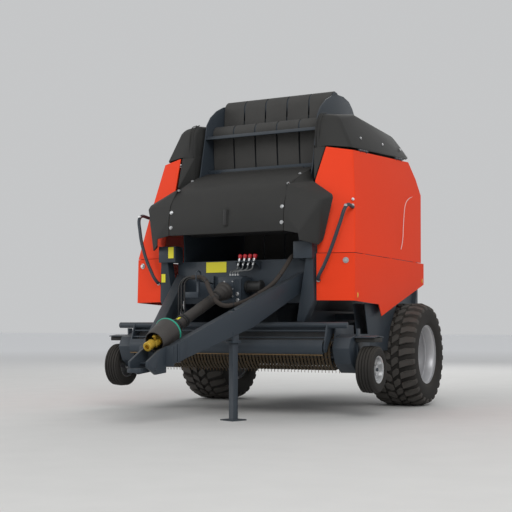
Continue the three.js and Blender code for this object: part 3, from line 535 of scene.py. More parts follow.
def make_looks():
    """Makes every material, from the colours that a user may change."""
    tint = bpy.context.scene.baler_colours
    steel, plastic, rubber = tuple(tint.steel), tuple(tint.plastic), tuple(tint.rubber)
    # Powder-coated mild steel: even satin, faint orange peel, field dust on what faces up.
    coated("powder_coated_steel", steel, 0.48, 260, 0.22, coat=0.05, spread=0.16, dust=0.15, shine=0.35)
    # Wet-sprayed enamel on sheet steel, dulled by field use: hardly any texture.
    coated("orange_red_enamel", tuple(tint.panel), 0.55, 120, 0.05, spread=0.035, dust=0.02, shine=0.14)
    # Rotation-moulded polyethylene: matt, with a leathery grain drawn at 4 mm.
    coated("moulded_polyethylene", plastic, 0.64, 240, 0.45, spread=0.1, dust=0.06, distance=0.0006, shine=0.25)
    # Carbon-black rubber: dull, with dried dirt rubbed into it.
    coated("tyre_rubber", rubber, 0.86, 150, 0.5, patch=4, spread=0.25, dust=0.35, dust_colour="#6E675C",
           distance=0.0008, shine=0.3)
    # The same rubber on the tops of the lugs, scuffed grey by the ground.
    coated("scuffed_tread_rubber", linear("#4D4A47"), 0.9, 110, 0.6, patch=6, spread=0.25, dust=0.3,
           dust_colour="#6E675C", distance=0.001, shine=0.3)
    # Silver wheel enamel: fine metallic flake.
    coated("silver_wheel_enamel", tuple(tint.rim), 0.36, 700, 0.1, metal=0.35, spread=0.08)
    # Polished chromium plate on the rods and small wheels.
    coated("chrome_plate", linear("#CFD0D2"), 0.12, 300, 0.02, metal=1.0, spread=0.03)
    # Bright zinc plate on bolts and couplings: a grey, slightly mottled metal.
    coated("bright_zinc", linear("#C4C5C6"), 0.3, 400, 0.1, metal=0.9, spread=0.1)
    # Yellow-passivated zinc on the shaft's joint: golden, with a rainbow unevenness.
    coated("yellow_zinc", linear("#CDA93C"), 0.36, 90, 0.15, metal=0.55, patch=25, spread=0.3)
    # Spring steel rubbed bare by crop: brown, lighter and darker in patches.
    coated("worn_spring_steel", linear("#7E6647"), 0.42, 60, 0.2, metal=0.5, patch=12, spread=0.35)
    # The pickup's bands: steel rubbed bare brown by the crop that slides under them.
    coated("worn_band_steel", linear("#4C402F"), 0.45, 60, 0.2, metal=0.4, patch=12, spread=0.35)
    # Injection-moulded guard: brownish black, slightly sheeny.
    coated("guard_polypropylene", linear("#3B3836"), 0.52, 300, 0.2, spread=0.12, dust=0.12)
    # Braided hose sleeve: warm black, rough.
    coated("braided_sleeve", linear("#3A332E"), 0.8, 420, 0.7, patch=8, spread=0.25, distance=0.0008)
    # Braided steel over the short hydraulic hoses.
    coated("steel_braid", linear("#6A6C6C"), 0.42, 900, 0.5, metal=0.4, patch=20, spread=0.2)
    # Hose rubber, smooth.
    coated("hose_rubber", linear("#232323"), 0.5, 200, 0.1, patch=8, spread=0.15)
    # Wound net: dense dark film.
    coated("wound_net", linear("#222223"), 0.7, 500, 0.6, patch=30, spread=0.3, distance=0.0008)
    # Painted shade: the frame's paint darkened to a dull near-black for the steel inside the machine.
    coated("shadowed_steel", shade(steel, 0.55), 0.62, 220, 0.3, spread=0.2, dust=0.3)
    # Printed vinyl left blank.
    coated("yellow_vinyl", linear("#E9DE27"), 0.35, 300, 0.03, spread=0.02)
    coated("black_vinyl", linear("#16171C"), 0.4, 300, 0.03, spread=0.02)
    coated("red_caps", linear("#C2202A"), 0.3, 200, 0.03, coat=0.2, spread=0.05)
    coated("green_collar", linear("#2FA58A"), 0.4, 200, 0.05, spread=0.08)
    coated("amber_reflector", linear("#E3B416"), 0.2, 700, 0.4, coat=0.4, spread=0.1)
    coated("pale_pinstripe", linear("#E7DAD5"), 0.35, 200, 0.02, spread=0.02)
    belting("rubber_belting", linear("#3F3E3C"))


# ---- operators ----


class PieceOperator(bpy.types.Operator):
    bl_options = {"REGISTER", "UNDO"}

    def execute(self, context):
        self.make(context.scene.baler_sizes)
        return {"FINISHED"}


CAMERA_PLACE = (4.603, -9.312, 0.797)
CAMERA_HEADING, CAMERA_CLIMB = 27.4, 3.8  # degrees to the left of straight on, and up
SENSOR_WIDTH, LENS = 36, 73.55  # mm
FLOOR_SIZE = 160
FADE_START, FADE_END, FADE_TONE = 7.0, 24.0, 0.97  # where the floor pales, and to what
LIGHT_TINT, LIGHT_STRENGTH = (0.95, 0.97, 1.0, 1), 0.56  # what the surroundings shed
WALL_TINT, WALL_STRENGTH = (0.80, 0.81, 0.82, 1), 0.7  # what the camera sees of them
LAMP_AIM, LAMP_WIDTH = (0, 0, 1.2), 6.0
LAMPS = (("key", (6.5, -9.0, 8.5), 500), ("fill", (-8.5, -7.0, 5.0), 225), ("rear", (-2.0, 9.0, 7.0), 300))


class BALER_OT_stage(PieceOperator):
    """Sets the camera, the pale floor and the soft studio light"""
    bl_idname = "baler.stage"
    bl_label = "Stage"

    def make(self, sizes):
        bpy.context.scene.view_settings.view_transform = "Standard"
        self.camera(bpy.context.scene)
        self.floor(tuple(bpy.context.scene.baler_colours.floor))
        self.surroundings(bpy.context.scene)
        for name, place, power in LAMPS:
            aim = (Vector(LAMP_AIM) - Vector(place)).to_track_quat("-Z", "Y").to_euler()
            bpy.ops.object.light_add(type="AREA", location=place, rotation=aim)
            lamp = bpy.context.object
            lamp.name = name
            lamp.data.size = LAMP_WIDTH
            lamp.data.energy = power

    def camera(self, scene):
        """Stands the camera ahead of the machine's left corner."""
        heading, climb = math.radians(CAMERA_HEADING), math.radians(CAMERA_CLIMB)
        level = math.cos(climb)
        ahead = Vector((-math.sin(heading) * level, math.cos(heading) * level, math.sin(climb)))
        deselect()
        bpy.ops.object.camera_add(location=CAMERA_PLACE, rotation=ahead.to_track_quat("-Z", "Y").to_euler())
        scene.camera = bpy.context.object
        scene.camera.data.sensor_width = SENSOR_WIDTH
        scene.camera.data.lens = LENS

    def floor(self, rgb):
        """Lays a pale floor that grows paler with distance."""
        tree, coords = blank("pale_floor")
        grain = noise(tree, coords, 3.0, 6.0)
        tone = mixed(tree, (grain, "Fac"), shade(rgb, 0.95), shade(rgb, 1.04))
        reach = add_node(tree, "ShaderNodeVectorMath", {0: (coords, "Object")}, operation="LENGTH")
        far = add_node(tree, "ShaderNodeMapRange", {
            "Value": (reach, "Value"), "From Min": FADE_START, "From Max": FADE_END})
        tone = mixed(tree, (far, "Result"), tone, [FADE_TONE] * 3)
        output(tree, add_node(tree, "ShaderNodeBsdfPrincipled", {"Base Color": tone, "Roughness": 0.9}))
        deselect()
        bpy.ops.mesh.primitive_plane_add(size=FLOOR_SIZE, location=(0, 0, 0))
        floor = bpy.context.object
        floor.name = "studio_floor"
        floor.data.materials.append(LOOKS["pale_floor"])

    def surroundings(self, scene):
        """Surrounds the scene with a soft light that camera, mirrors and glass see as a wall."""
        world = bpy.data.worlds.new("studio")
        scene.world = world
        world.use_nodes = True
        tree = world.node_tree
        tree.nodes.clear()
        paths = add_node(tree, "ShaderNodeLightPath")
        seen = (paths, "Is Camera Ray")
        for ray in ("Is Glossy Ray", "Is Transmission Ray"):
            added = add_node(tree, "ShaderNodeMath", {0: seen, 1: (paths, ray)},
                             operation="ADD", use_clamp=True)
            seen = (added, "Value")
        soft, wall = (add_node(tree, "ShaderNodeBackground", {"Color": tint, "Strength": strength})
                      for tint, strength in ((LIGHT_TINT, LIGHT_STRENGTH), (WALL_TINT, WALL_STRENGTH)))
        both = add_node(tree, "ShaderNodeMixShader", {"Fac": seen, 1: (soft, 0), 2: (wall, 0)})
        add_node(tree, "ShaderNodeOutputWorld", {"Surface": (both, 0)})


SLEEVE_RADIUS, TAIL_RADIUS = 0.0195, 0.0065
TIED_AT = (3, 6, 9, 12, 14)  # the sleeve's points that have a tie
TAILS = ((-7, -10, 300, 55), (7, -10, 140, 70), (-12, 3, 250, 85), (12, 3, 190, 100), (0, 10, 330, 120))
CONDUIT = [
    (579.5, -1530, 1440), (566, -1600, 1420), (548, -1680, 1340), (515, -1745, 1250), (466, -1790, 1170),
    (417, -1830, 1120), (365, -1900, 1070), (322, -1980, 1024), (285, -2080, 990), (262, -2160, 974),
    (215, -2215, 968), (165, -2240, 990), (118, -2240, 1040), (72, -2232, 1105), (28, -2218, 1180),
    (-16, -2205, 1213), (-60, -2200, 1218.6), (-125, -2200, 1218.6),
]


class BALER_OT_hoses(PieceOperator):
    """Lays the sleeve of hoses that hangs from the body to the rack, and its tails"""
    bl_idname = "baler.hoses"
    bl_label = "Hoses"

    def make(self, sizes):
        points = [at(*p) for p in CONDUIT]
        sleeve = tube("supply_sleeve", points, SLEEVE_RADIUS, 5)
        dress(sleeve, "chassis", "braided_sleeve", ["supply_conduit"])
        ties = [lay(turned("tie", [(-0.004, 0.019), (-0.004, 0.0215), (0.004, 0.0215), (0.004, 0.019)], 24),
                    line_matrix(points[i], points[i + 1])) for i in TIED_AT]
        settle(joined("sleeve_ties", *ties), "chassis", "black_vinyl", "black_plastic")
        for i, (dy, dz, drop, bend) in enumerate(TAILS):
            self.tail(f"tail_{i}", points[-1] + Vector((0.004, dy / 1000, dz / 1000)), drop / 1000, bend / 1000)

    def tail(self, name, start, drop, bend):
        """A hose that leaves the sleeve's end, bends down and hangs to its coupling."""
        down = Vector((0, 0, -1))
        corner = start + Vector((-0.02, 0, 0))
        route = [start, corner]
        for k in range(1, 7):
            a = math.pi / 2 * k / 6
            route.append(corner + Vector((-bend * math.sin(a), 0, -bend * (1 - math.cos(a)))))
        foot = route[-1]
        route += [foot + down * (drop * k / 8) for k in range(1, 9)]
        hose = tube(name, route, TAIL_RADIUS, 4)
        dress(hose, "chassis", "hose_rubber")
        tip = route[-1]
        body = [(-0.012, 0), (-0.012, 0.0085), (0.012, 0.0085), (0.014, 0.0125), (0.034, 0.0125), (0.036, 0.0095),
                (0.05, 0.0095), (0.052, 0.007), (0.06, 0.007), (0.06, 0)]
        plug = smooth(lay(turned(name + "_coupling", body, 24), line_matrix(tip, tip + down)), 35)
        settle(plug, "chassis", *ZINC)


LUG_TOP = AXLE_Z - 0.0012  # radius at a lug's top, set in so that no corner goes under the ground


class BALER_OT_road_wheels(PieceOperator):
    """Makes the two road wheels: lugged tyres on deep silver rims"""
    bl_idname = "baler.road_wheels"
    bl_label = "Road wheels"

    def make(self, sizes):
        centre = (TRACK_HALF, AXLE_Y, AXLE_Z)
        crown = AXLE_Z - sizes.lug_height
        side = [(0.222, 0.291), (0.228, 0.306), (0.238, 0.318), (0.244, 0.34), (0.2475, 0.365), (0.2495, 0.392),
                (0.2475, 0.42), (0.241, 0.445), (0.23, 0.464), (0.208, 0.476), (0.15, 0.484), (0.08, crown)]
        outer = side + [(-a, r) for a, r in reversed(side)]
        inner = [(-0.19, 0.291), (-0.21, 0.34), (-0.212, 0.42), (-0.15, 0.455), (0.15, 0.455), (0.212, 0.42),
                 (0.21, 0.34), (0.19, 0.291)]
        tyre = smooth(turned("road_tyre", outer + inner, 96, centre), 40)
        step = math.tau / sizes.lug_count
        rows = [
            (0.0, [(-0.068, -0.004), (-0.012, -0.044), (0.012, -0.034), (0.012, 0.012), (-0.044, 0.052),
                   (-0.068, 0.04)]),
            (0.45, [(0.026, -0.052), (0.09, -0.006), (0.09, 0.038), (0.064, 0.044), (0.026, 0.014)]),
            (0.2, [(0.104, -0.034), (0.168, -0.012), (0.226, -0.004), (0.24, 0.004), (0.24, 0.05), (0.226, 0.052),
                   (0.168, 0.05), (0.104, 0.03)]),
            (0.72, [(-0.24, -0.004), (-0.226, -0.006), (-0.168, -0.01), (-0.084, -0.036), (-0.084, 0.028),
                    (-0.168, 0.05), (-0.226, 0.05), (-0.24, 0.046)]),
        ]
        lugs = [self.lugs(plan, shift * step, crown, sizes.lug_count, step, centre) for shift, plan in rows]
        both_sides(tyre, "road_tyre_{}", "wheel_{}", "tyre_rubber", "tyre", ["tyre_{}"])
        both_sides(joined("road_lugs", *lugs), "road_lugs_{}", "wheel_{}", "scuffed_tread_rubber", "tyre")
        both_sides(self.rim(centre), "road_rim_{}", "wheel_{}", "silver_wheel_enamel", "rim", ["rim_{}"])
        both_sides(self.hub(centre), "road_hub_{}", "wheel_{}", *ZINC)

    def lugs(self, plan, shift, crown, count, step, centre):
        """One row of lugs: a plan of (across, round), wrapped onto the tyre and repeated."""
        middle = Vector(centre)

        def drop(across):
            """How far the tread's crown falls away towards the shoulders."""
            beyond = max(0, abs(across) - 0.15)
            return beyond * beyond * 4.2

        def place(across, round_, radius):
            turn = round_ / LUG_TOP + shift
            return middle + Vector((across, radius * math.sin(turn), radius * math.cos(turn)))

        lug = ring("lug", [place(a, r, LUG_TOP - drop(a)) for a, r in plan])
        edit(lug, (bpy.ops.mesh.edge_face_add, {}),
             (bpy.ops.mesh.extrude_region_move, {"TRANSFORM_OT_translate": {"value": (0, 0, -0.001)}}))
        for vertex, (across, round_) in zip(list(lug.data.vertices)[len(plan):], plan):
            vertex.co = place(across * 1.03, round_ * 1.06, crown - 0.012 - drop(across))
        edit(lug, OUTWARD)
        eased(lug, 0.0025, 1, 25)
        return rounds(lug, "lug", count, step, centre)

    def rim(self, centre):
        """A deep rim with its disc set in, turned as one piece."""
        profile = [(-0.218, 0.288), (-0.222, 0.298), (-0.214, 0.303), (-0.205, 0.29), (-0.195, 0.276),
                   (-0.02, 0.272), (-0.012, 0.25), (-0.004, 0.205), (0.02, 0.13), (0.024, 0.125), (0.024, 0.06),
                   (-0.06, 0.052), (-0.06, 0.0518), (0.045, 0.0518), (0.045, 0.125), (0.034, 0.138),
                   (0.014, 0.208), (0.012, 0.25), (0.03, 0.262), (0.1, 0.266), (0.104, 0.262), (0.118, 0.262),
                   (0.122, 0.268), (0.19, 0.272), (0.205, 0.284), (0.214, 0.301), (0.222, 0.3), (0.22, 0.287),
                   (0.2, 0.2875), (-0.2, 0.2875)]
        return smooth(turned("road_rim", profile, 96, centre), 40)

    def hub(self, centre):
        """A hub cap and ten wheel nuts on their studs."""
        middle = Vector(centre)
        cap = turned("hub", [(0.04, 0), (0.04, 0.058), (0.1, 0.056), (0.118, 0.046), (0.124, 0.02), (0.124, 0)],
                     48, centre)
        smooth(cap, 40)
        nut = turned("nut", [(0.038, 0), (0.038, 0.019), (0.043, 0.015), (0.06, 0.015), (0.062, 0.009),
                             (0.072, 0.009), (0.074, 0)], 6, middle + Vector((0, 0, 0.1)))
        return joined("road_hub", cap, rounds(nut, "nut", 10, math.tau / 10, centre))


class BALER_OT_gauge_wheels(PieceOperator):
    """Makes the two gauge wheels of the pickup: ribbed tyres on bright rims"""
    bl_idname = "baler.gauge_wheels"
    bl_label = "Gauge wheels"

    def make(self, sizes):
        low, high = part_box("gauge_wheel_left")
        centre = (low + high) / 2
        half, radius = (high.x - low.x) / 2, (high.z - low.z) / 2 - 0.0005
        tread = []
        count = sizes.rib_count
        span = 2 * (half - 0.014) / count
        for i in range(count):
            left = half - 0.014 - i * span
            drop = 0.006 * abs(i - (count - 1) / 2) / (count / 2)
            tread += [(left - 0.003, radius - 0.009 - drop), (left - 0.005, radius - drop),
                      (left - span + 0.005, radius - drop), (left - span + 0.003, radius - 0.009 - drop)]
        profile = [(half - 0.024, 0.112), (half - 0.006, 0.126), (half - 0.0005, 0.15), (half - 0.004, 0.178),
                   (half - 0.011, radius - 0.016), *tread, (-half + 0.011, radius - 0.016), (-half + 0.004, 0.178),
                   (-half + 0.0005, 0.15), (-half + 0.006, 0.126), (-half + 0.024, 0.112)]
        tyre = smooth(turned("gauge_tyre", profile, 72, centre), 25)
        both_sides(tyre, "gauge_tyre_{}", "gauge_wheel_{}", "tyre_rubber", "gauge_tyre", ["gauge_wheel_{}"])
        dish = [(0.062, 0.118), (0.066, 0.122), (0.07, 0.118), (0.064, 0.106), (0.03, 0.098), (0.018, 0.07),
                (0.026, 0.04), (0.05, 0.036), (0.052, 0.0175), (-0.06, 0.0175), (-0.06, 0.034), (0.008, 0.036),
                (0.002, 0.07), (0.008, 0.096), (-0.03, 0.098), (-0.064, 0.106), (-0.07, 0.118), (-0.066, 0.122),
                (-0.062, 0.118), (-0.05, 0.112), (0.05, 0.112)]
        rim = smooth(turned("gauge_rim", dish, 64, centre), 40)
        nut = turned("nut", [(0.02, 0), (0.02, 0.011), (0.034, 0.01), (0.036, 0)], 6,
                     centre + Vector((0, 0, 0.055)))
        rim = joined("gauge_rim", rim, rounds(nut, "nut", 5, math.tau / 5, centre))
        both_sides(rim, "gauge_rim_{}", "gauge_wheel_{}", "bright_zinc", "rod_chrome")


STEELWORK = {
    "chassis": ["axle_beam", "side_rail_left", "side_rail_right", "chamber_wall_left", "chamber_wall_right",
                "front_plate", "front_post_left", "front_post_right", "drawbar_arm_left", "drawbar_arm_right",
                "drawbar_head", "tow_eye", "jack_sleeve", "sill_bar", "mid_bar", "wheel_guard_left",
                "wheel_guard_right", "throat_floor", "hose_rack"],
    "jack": ["jack_leg"],
    "feed_rotor": ["feed_rotor"],
    "floor_roller": ["floor_roller"],
    "pickup": ["pickup_frame", "pickup_side_left", "pickup_side_right"],
    "wind_guard": ["wind_guard"],
    "press_roller": ["press_roller"],
    "tailgate": ["tailgate_frame"],
}


class BALER_OT_steelwork(PieceOperator):
    """Rounds and paints the welded steelwork"""
    bl_idname = "baler.steelwork"
    bl_label = "Steelwork"

    def make(self, sizes):
        for body, nodes in STEELWORK.items():
            for node in nodes:
                eased_node(node, body, *PAINT)
        # Two thin plates behind the belts in the darkened steel: painted shade in the gaps between the belts.
        for name, low, high in (
                ("lower_backing", (-598, -966, 2310), (598, -962, 2690)),
                ("upper_backing", (-598, -772, 2700), (598, -768, 2880)),
        ):
            shield = eased(box(name, low, high), 0.001, 1)
            settle(shield, "chassis", *SHADE)
        rail = eased(box("hood_rail", (-599, -1096, 2296), (599, -1056, 2342)), sizes.edge, 2)
        settle(rail, "chassis", *PAINT)


class BALER_OT_drawbar_fittings(PieceOperator):
    """Makes the collar and the small plates welded to the drawbar"""
    bl_idname = "baler.drawbar_fittings"
    bl_label = "Drawbar fittings"

    def make(self, sizes):
        collar = self.arm_plate("collar", [(40, 496), (40, 650), (132, 690), (132, 536)], 0.6, 8)
        inset = self.arm_plate("inset", [(58, 520), (58, 638), (114, 662), (114, 544)], 8, 11)
        both_sides(joined("drawbar_collar", collar, inset), "drawbar_collar_{}", "chassis", *PAINT)
        house = [(-46, 674), (46, 674), (46, 742), (0, 800), (-46, 742)]
        gusset = slab("jack_gusset", [self.on_arm(a - 42, 635.4, z) for a, z in house],
                      self.on_arm(0, -7, 0) - self.on_arm(0, 0, 0))
        gusset = joined("jack_gusset", eased(gusset, 0.0015), bolts(
            "bolt", [(self.on_arm(-42, 628, 706), self.on_arm(0, -1, 0) - self.on_arm(0, 0, 0))], 0.009))
        settle(gusset, "chassis", *PAINT)

    def on_arm(self, across, along, z):
        """A place in millimetres on the left arm: across its width, along it, and up."""
        turn = math.atan2(488, 1289)
        return at(150 + across * math.cos(turn) + along * math.sin(turn),
                  -2947 - across * math.sin(turn) + along * math.cos(turn), z)

    def arm_plate(self, name, outline, inner, outer):
        """A plate on the left arm's side, its outline in (along, z) millimetres."""
        push = self.on_arm(outer, 0, 0) - self.on_arm(inner, 0, 0)
        return eased(slab(name, [self.on_arm(inner, s, z) for s, z in outline], push), 0.0015)


HOOD_LINE = [(-1840, 1632), (-1842, 1780), (-1815, 1910), (-1711, 2060), (-1443, 2190), (-1142, 2297)]


class BALER_OT_hood(PieceOperator):
    """Makes the moulded hood: its lid, its two wings and their bolts"""
    bl_idname = "baler.hood"
    bl_label = "Hood"

    def make(self, sizes):
        half = CHAMBER_HALF * 1000 - 7.7
        line = filleted(HOOD_LINE, 90, 6)
        lid = plate_x("lid", band(line, 10), -half, half)
        eased(lid, 0.003, 2, 50)
        smooth(lid, 30)
        lip = eased(box("lip", (-half, -1838, 1632), (half, -1800, 1642)), 0.002)
        pin = rod("pin", at(-443, -1116, 2300), at(443, -1116, 2300), 0.011)
        tabs = [eased(box("tab", (x, -1152, 2285), (x + 50, -1116, 2296)), 0.002) for x in (-420, 370)]
        slot = eased(plate_y("slot", self.pill(17, 58), -1856, -1838), 0.005, 3)
        surround = eased(plate_y("surround", self.pill(26, 60), -1848, -1838), 0.002, 2)
        settle(joined("hood_shell", lid, lip, pin, *tabs, surround), "hood_lid", *MOULDED, ["hood_lid"])
        settle(joined("hood_slot", slot), "hood_lid", *RUBBER)
        fixings = [(at(side * (half - 18), y, z), Vector((0, ny, nz)))
                   for side in (-1, 1)
                   for y, z, ny, nz in ((-1829, 1848, -0.98, 0.2), (-1841, 1706, -1, 0), (-1700, 2068, -0.43, 0.9),
                                        (-1446, 2190, -0.4, 0.92))]
        settle(bolts("hood_bolts", fixings, 0.013), "hood_lid", *ZINC)
        edge = half + 6
        outer = [(edge, -1840, 1632), (edge, -1842, 1780), (edge, -1815, 1910), (edge, -1711, 2060),
                 (OUT + 123, -1832, 1630), (OUT + 128, -1822, 1546), (OUT + 248, -1703, 1539),
                 (OUT + 296, -1720, 1908), (OUT + 358, -1596, 1951), (OUT + 118, -1505, 2104),
                 (OUT + 26, -1300, 2143), (edge, -1300, 2246), (OUT + 258, -1604, 1540)]
        faces = [(0, 4, 1), (1, 4, 2), (4, 7, 2), (4, 5, 6), (4, 6, 7), (2, 7, 3), (3, 7, 8), (3, 8, 9),
                 (3, 9, 10), (3, 10, 11), (7, 6, 12), (7, 12, 8)]
        wing = sheeted("wing", outer, faces, (0.2, -1, 0.4), 0.009, 0.022)
        bracket = eased(plate_y("bracket", [(OUT + 1, 1850), (OUT + 1, 1940), (OUT + 88, 2104), (OUT + 88, 2062)],
                                -1486, -1474), 0.002)
        both_sides(joined("hood_wing", wing, bracket), "hood_wing_{}_shell", "chassis",
                   *MOULDED, ["hood_wing_{}"])

    def pill(self, radius, reach):
        """An upright slot's outline of (x, z), its ends reach above and below the middle."""
        turns = [math.tau * (i + 0.5) / 24 for i in range(24)]
        return [(8 + radius * math.cos(a), 1774 + math.copysign(reach, math.sin(a)) + radius * math.sin(a))
                for a in turns]


class BALER_OT_roof(PieceOperator):
    """Makes the moulded roof covers over the belt tensioner"""
    bl_idname = "baler.roof"
    bl_label = "Roof covers"

    def make(self, sizes):
        rear = 640
        high = [
            (OUT + 33, -1295, 2440), (OUT + 33, -1290, 2700), (OUT + 40, -1200, 2790), (OUT + 40, -800, 2830),
            (OUT + 40, 223, 2790), (OUT + 40, 460, 2718), (OUT + 40, rear, 2618), (OUT + 33, rear, 2560),
            (OUT + 238, -1200, 2745), (OUT + 238, -800, 2838), (OUT + 238, 223, 2797), (OUT + 238, 460, 2725),
            (OUT + 200, rear, 2626), (OUT + 388, -1238, 2434), (OUT + 372, 329, 2544), (OUT + 340, 470, 2580),
            (OUT + 166, -1318, 2456),
        ]
        shell = hulled("cover", high)
        drop_faces(shell, Vector((0, 0, -1)), 0.6)
        modified(shell, "BEVEL", width=0.045, segments=4, limit_method="ANGLE", angle_limit=math.radians(9))
        modified(shell, "SOLIDIFY", thickness=0.01, offset=-1)
        smooth(shell, 50)
        tip = hulled("tip", [
            (OUT + 33, -1296, 2160), (OUT + 118, -1480, 2118), (OUT + 158, -1322, 2450), (OUT + 33, -1296, 2450),
            (OUT + 33, -1240, 2160), (OUT + 118, -1380, 2118), (OUT + 158, -1240, 2450), (OUT + 33, -1240, 2450)])
        eased(tip, 0.012, 3, 20)
        ribs = [pipe("rib", [at(x + dx, y, z) for x, y, z in
                             ((OUT + 40, -1299, 2150), (OUT + 40, -1299, 2440), (OUT + 40, -1294, 2640),
                              (OUT + 48, -1240, 2755), (OUT + 48, -1150, 2797))], 0.004, 2) for dx in (12, 48)]
        apron = eased(plate_x("apron", [(-1292, 2170), (-1292, 2470), (-1036, 2486), (-1036, 2250)],
                              OUT + 30, OUT + 36), 0.002)
        tabs = [eased(box("tab", (OUT + 0.6, y, z), (OUT + 60, y + 40, z + 10)), 0.002)
                for y, z in ((-1000, 2790), (-700, 2800), (100, 2772))]
        both_sides(joined("roof_cover", shell, tip, apron, *tabs, *ribs), "roof_cover_{}_shell", "chassis",
                   *MOULDED, ["roof_cover_{}"])
        places = [(OUT + 340, -900, 2574), (OUT + 334, -300, 2606), (OUT + 330, 240, 2634)]
        fixings = [(at(side * x, y, z), Vector((side * 0.75, 0, 0.66))) for side in (-1, 1) for x, y, z in places]
        settle(bolts("roof_bolts", fixings, 0.012), "chassis", *ZINC)


SEAM = 1440  # height of the join between the door's two panels, mm
HINGE = ((BODY_HALF - 126, -1251, 2416), (BODY_HALF - 141, 329, 2523))
GRAB_BAR = [(-62, -1417, 1858), (-58, -1585, 1850), (-95, -1640, 1700), (-160, -1665, 1500), (-235, -1668, 1330),
            (-300, -1655, 1215), (-308, -1621, 1196)]
STRIPE = [(160, 2122), (30, 2082), (-71, 2021), (-122, 1945), (-154, 1864), (-190, 1765), (-219, 1672),
          (-262, 1596), (-302, 1547)]
SKIN = 0.0075  # thickness of a door's sheet, m


class BALER_OT_doors(PieceOperator):
    """Makes the enamelled side doors, their grab bars and small fittings"""
    bl_idname = "baler.doors"
    bl_label = "Side doors"

    def make(self, sizes):
        front, wide = OUT + 200, BODY_HALF
        low, high = SEAM + 3, SEAM - 3
        upper = [
            (front, -1600, low), (OUT + 163, -1530, 1950), (OUT + 133, -1490, 2108), (OUT + 172, -1330, 2440),
            (wide, -1530, low), (wide - 54, -1385, 1930), (wide - 127, -1251, 2404),
            (wide - 6, 300, low), (wide - 40, 420, 2160), (wide - 110, 465, 2343), (wide - 143, 329, 2510),
        ]
        faces = [(0, 4, 5, 1), (1, 5, 2), (2, 5, 6), (2, 6, 3), (4, 7, 8, 5), (5, 8, 9, 10, 6)]
        panel = sheeted("upper", upper, faces, (1, -0.6, 0.2), SKIN, 0.014, 24)
        both_sides(joined("door_upper", panel), "door_upper_{}_panel", "door_{}",
                   "orange_red_enamel", "red_panel", ["door_upper_{}"])
        both_sides(joined("door_hinge", *self.knuckles()), "door_hinge_{}", "door_{}", *PAINT)
        lower = [
            (front, -1620, 1020), (front, -1620, high), (wide, -1544, 1016), (wide, -1532, high),
            (wide, -946, 993), (wide, -872, 887), (wide, -371, 1025), (wide, 363, 1219), (wide, 370, high),
        ]
        faces = [(0, 2, 3, 1), (2, 4, 3), (4, 5, 6), (4, 6, 7, 8, 3)]
        panel = sheeted("lower", lower, faces, (1, -0.6, 0), SKIN, 0.014)
        pads = [box("pad", (wide - 14, y - 30, high - 12), (wide - 3, y + 30, SEAM + 1))
                for y in (-1300, -600, 100)]
        both_sides(joined("door_lower", panel, *pads), "door_lower_{}_panel", "door_{}",
                   "orange_red_enamel", "red_panel", ["door_lower_{}"])
        bar = pipe("grab_bar", [at(wide + x, y, z) for x, y, z in GRAB_BAR], 0.016, 6)
        both_sides(smooth(bar, 50), "grab_bar_{}_tube", "door_{}", *PAINT, ["grab_bar_{}"])
        self.fittings(wide)

    def knuckles(self):
        """The door's half of its hinge, with a lug from each knuckle to the panel."""
        start, run = Vector(HINGE[0]), Vector(HINGE[1]) - Vector(HINGE[0])
        pieces = []
        for low, high in ((0.09, 0.1396), (0.1904, 0.24), (0.73, 0.7796), (0.8304, 0.88)):
            ends = [at(*(start + run * share)) for share in (low, high)]
            middle = start + run * ((low + high) / 2)
            pieces.append(rod("knuckle", *ends, 0.009, 16))
            pieces.append(rod("lug", at(*middle), at(*(middle - Vector((3, 0, 22)))), 0.006, 12))
        return pieces

    def fittings(self, wide):
        """Bolts, reflectors and the pale stripe."""
        for side, sign in SIDES:
            screws = [
                ((wide - 77, -1557, 1373), (0.22, -0.97, 0), 0.02),
                ((wide - 64, -1411, 1930), (0.6, -0.78, 0.2), 0.01),
                ((wide - 59, -1600, 1853), (0, -1, 0.1), 0.012),
                ((wide - 62, -1430, 1872), (0.2, -0.9, 0.3), 0.012),
                ((wide - 308, -1637, 1196), (0, -1, -0.1), 0.012)]
            made = [bolts("screw", [(at(sign * x, y, z), Vector((sign * nx, ny, nz)))], radius)
                    for (x, y, z), (nx, ny, nz), radius in screws]
            settle(joined("door_bolts_" + side, *made), "door_" + side, *ZINC)
            lenses = []
            for y, z in ((-1473, 1066), (312, 1257)):
                oval = [(y + 11 * math.cos(a), z + 24 * math.sin(a))
                        for a in [math.tau * i / 20 for i in range(20)]]
                lens = plate_x("lens", oval, sign * (wide - 1), sign * (wide + 3.5))
                lenses.append(eased(lens, 0.0015, 2))
            settle(joined("reflectors_" + side, *lenses), "door_" + side, "amber_reflector", "label")
            line = [at(sign * (wide - 3 - (z - 1443) * 0.0565 - (y + 300) * 0.008), y, z) for y, z in STRIPE]
            settle(pipe("stripe_" + side, line, 0.0035, 2), "door_" + side, "pale_pinstripe", "pale_trim")


DRUM = (600, 1590)  # y and z of the bale chamber's centre, mm
BELT_CIRCLE, ROLLER_CIRCLE = 936, 1046  # radii round it, mm
ROLLER_HALF = 599.7  # half of a roller's length, mm
FRONT_ROLLERS = ((-930, 2720, 86), (-660, 2990, 118))  # y, z and the belts' radius round it, mm
HINGE_ROLLER = (180, 2650, 86)
BELT_GAP = 15  # between belts side by side, mm


def on_drum(angle):
    """The y and z of a roller outside the chamber's belts, by its angle in degrees."""
    turn = math.radians(angle)
    return DRUM[0] + ROLLER_CIRCLE * math.cos(turn), DRUM[1] + ROLLER_CIRCLE * math.sin(turn)


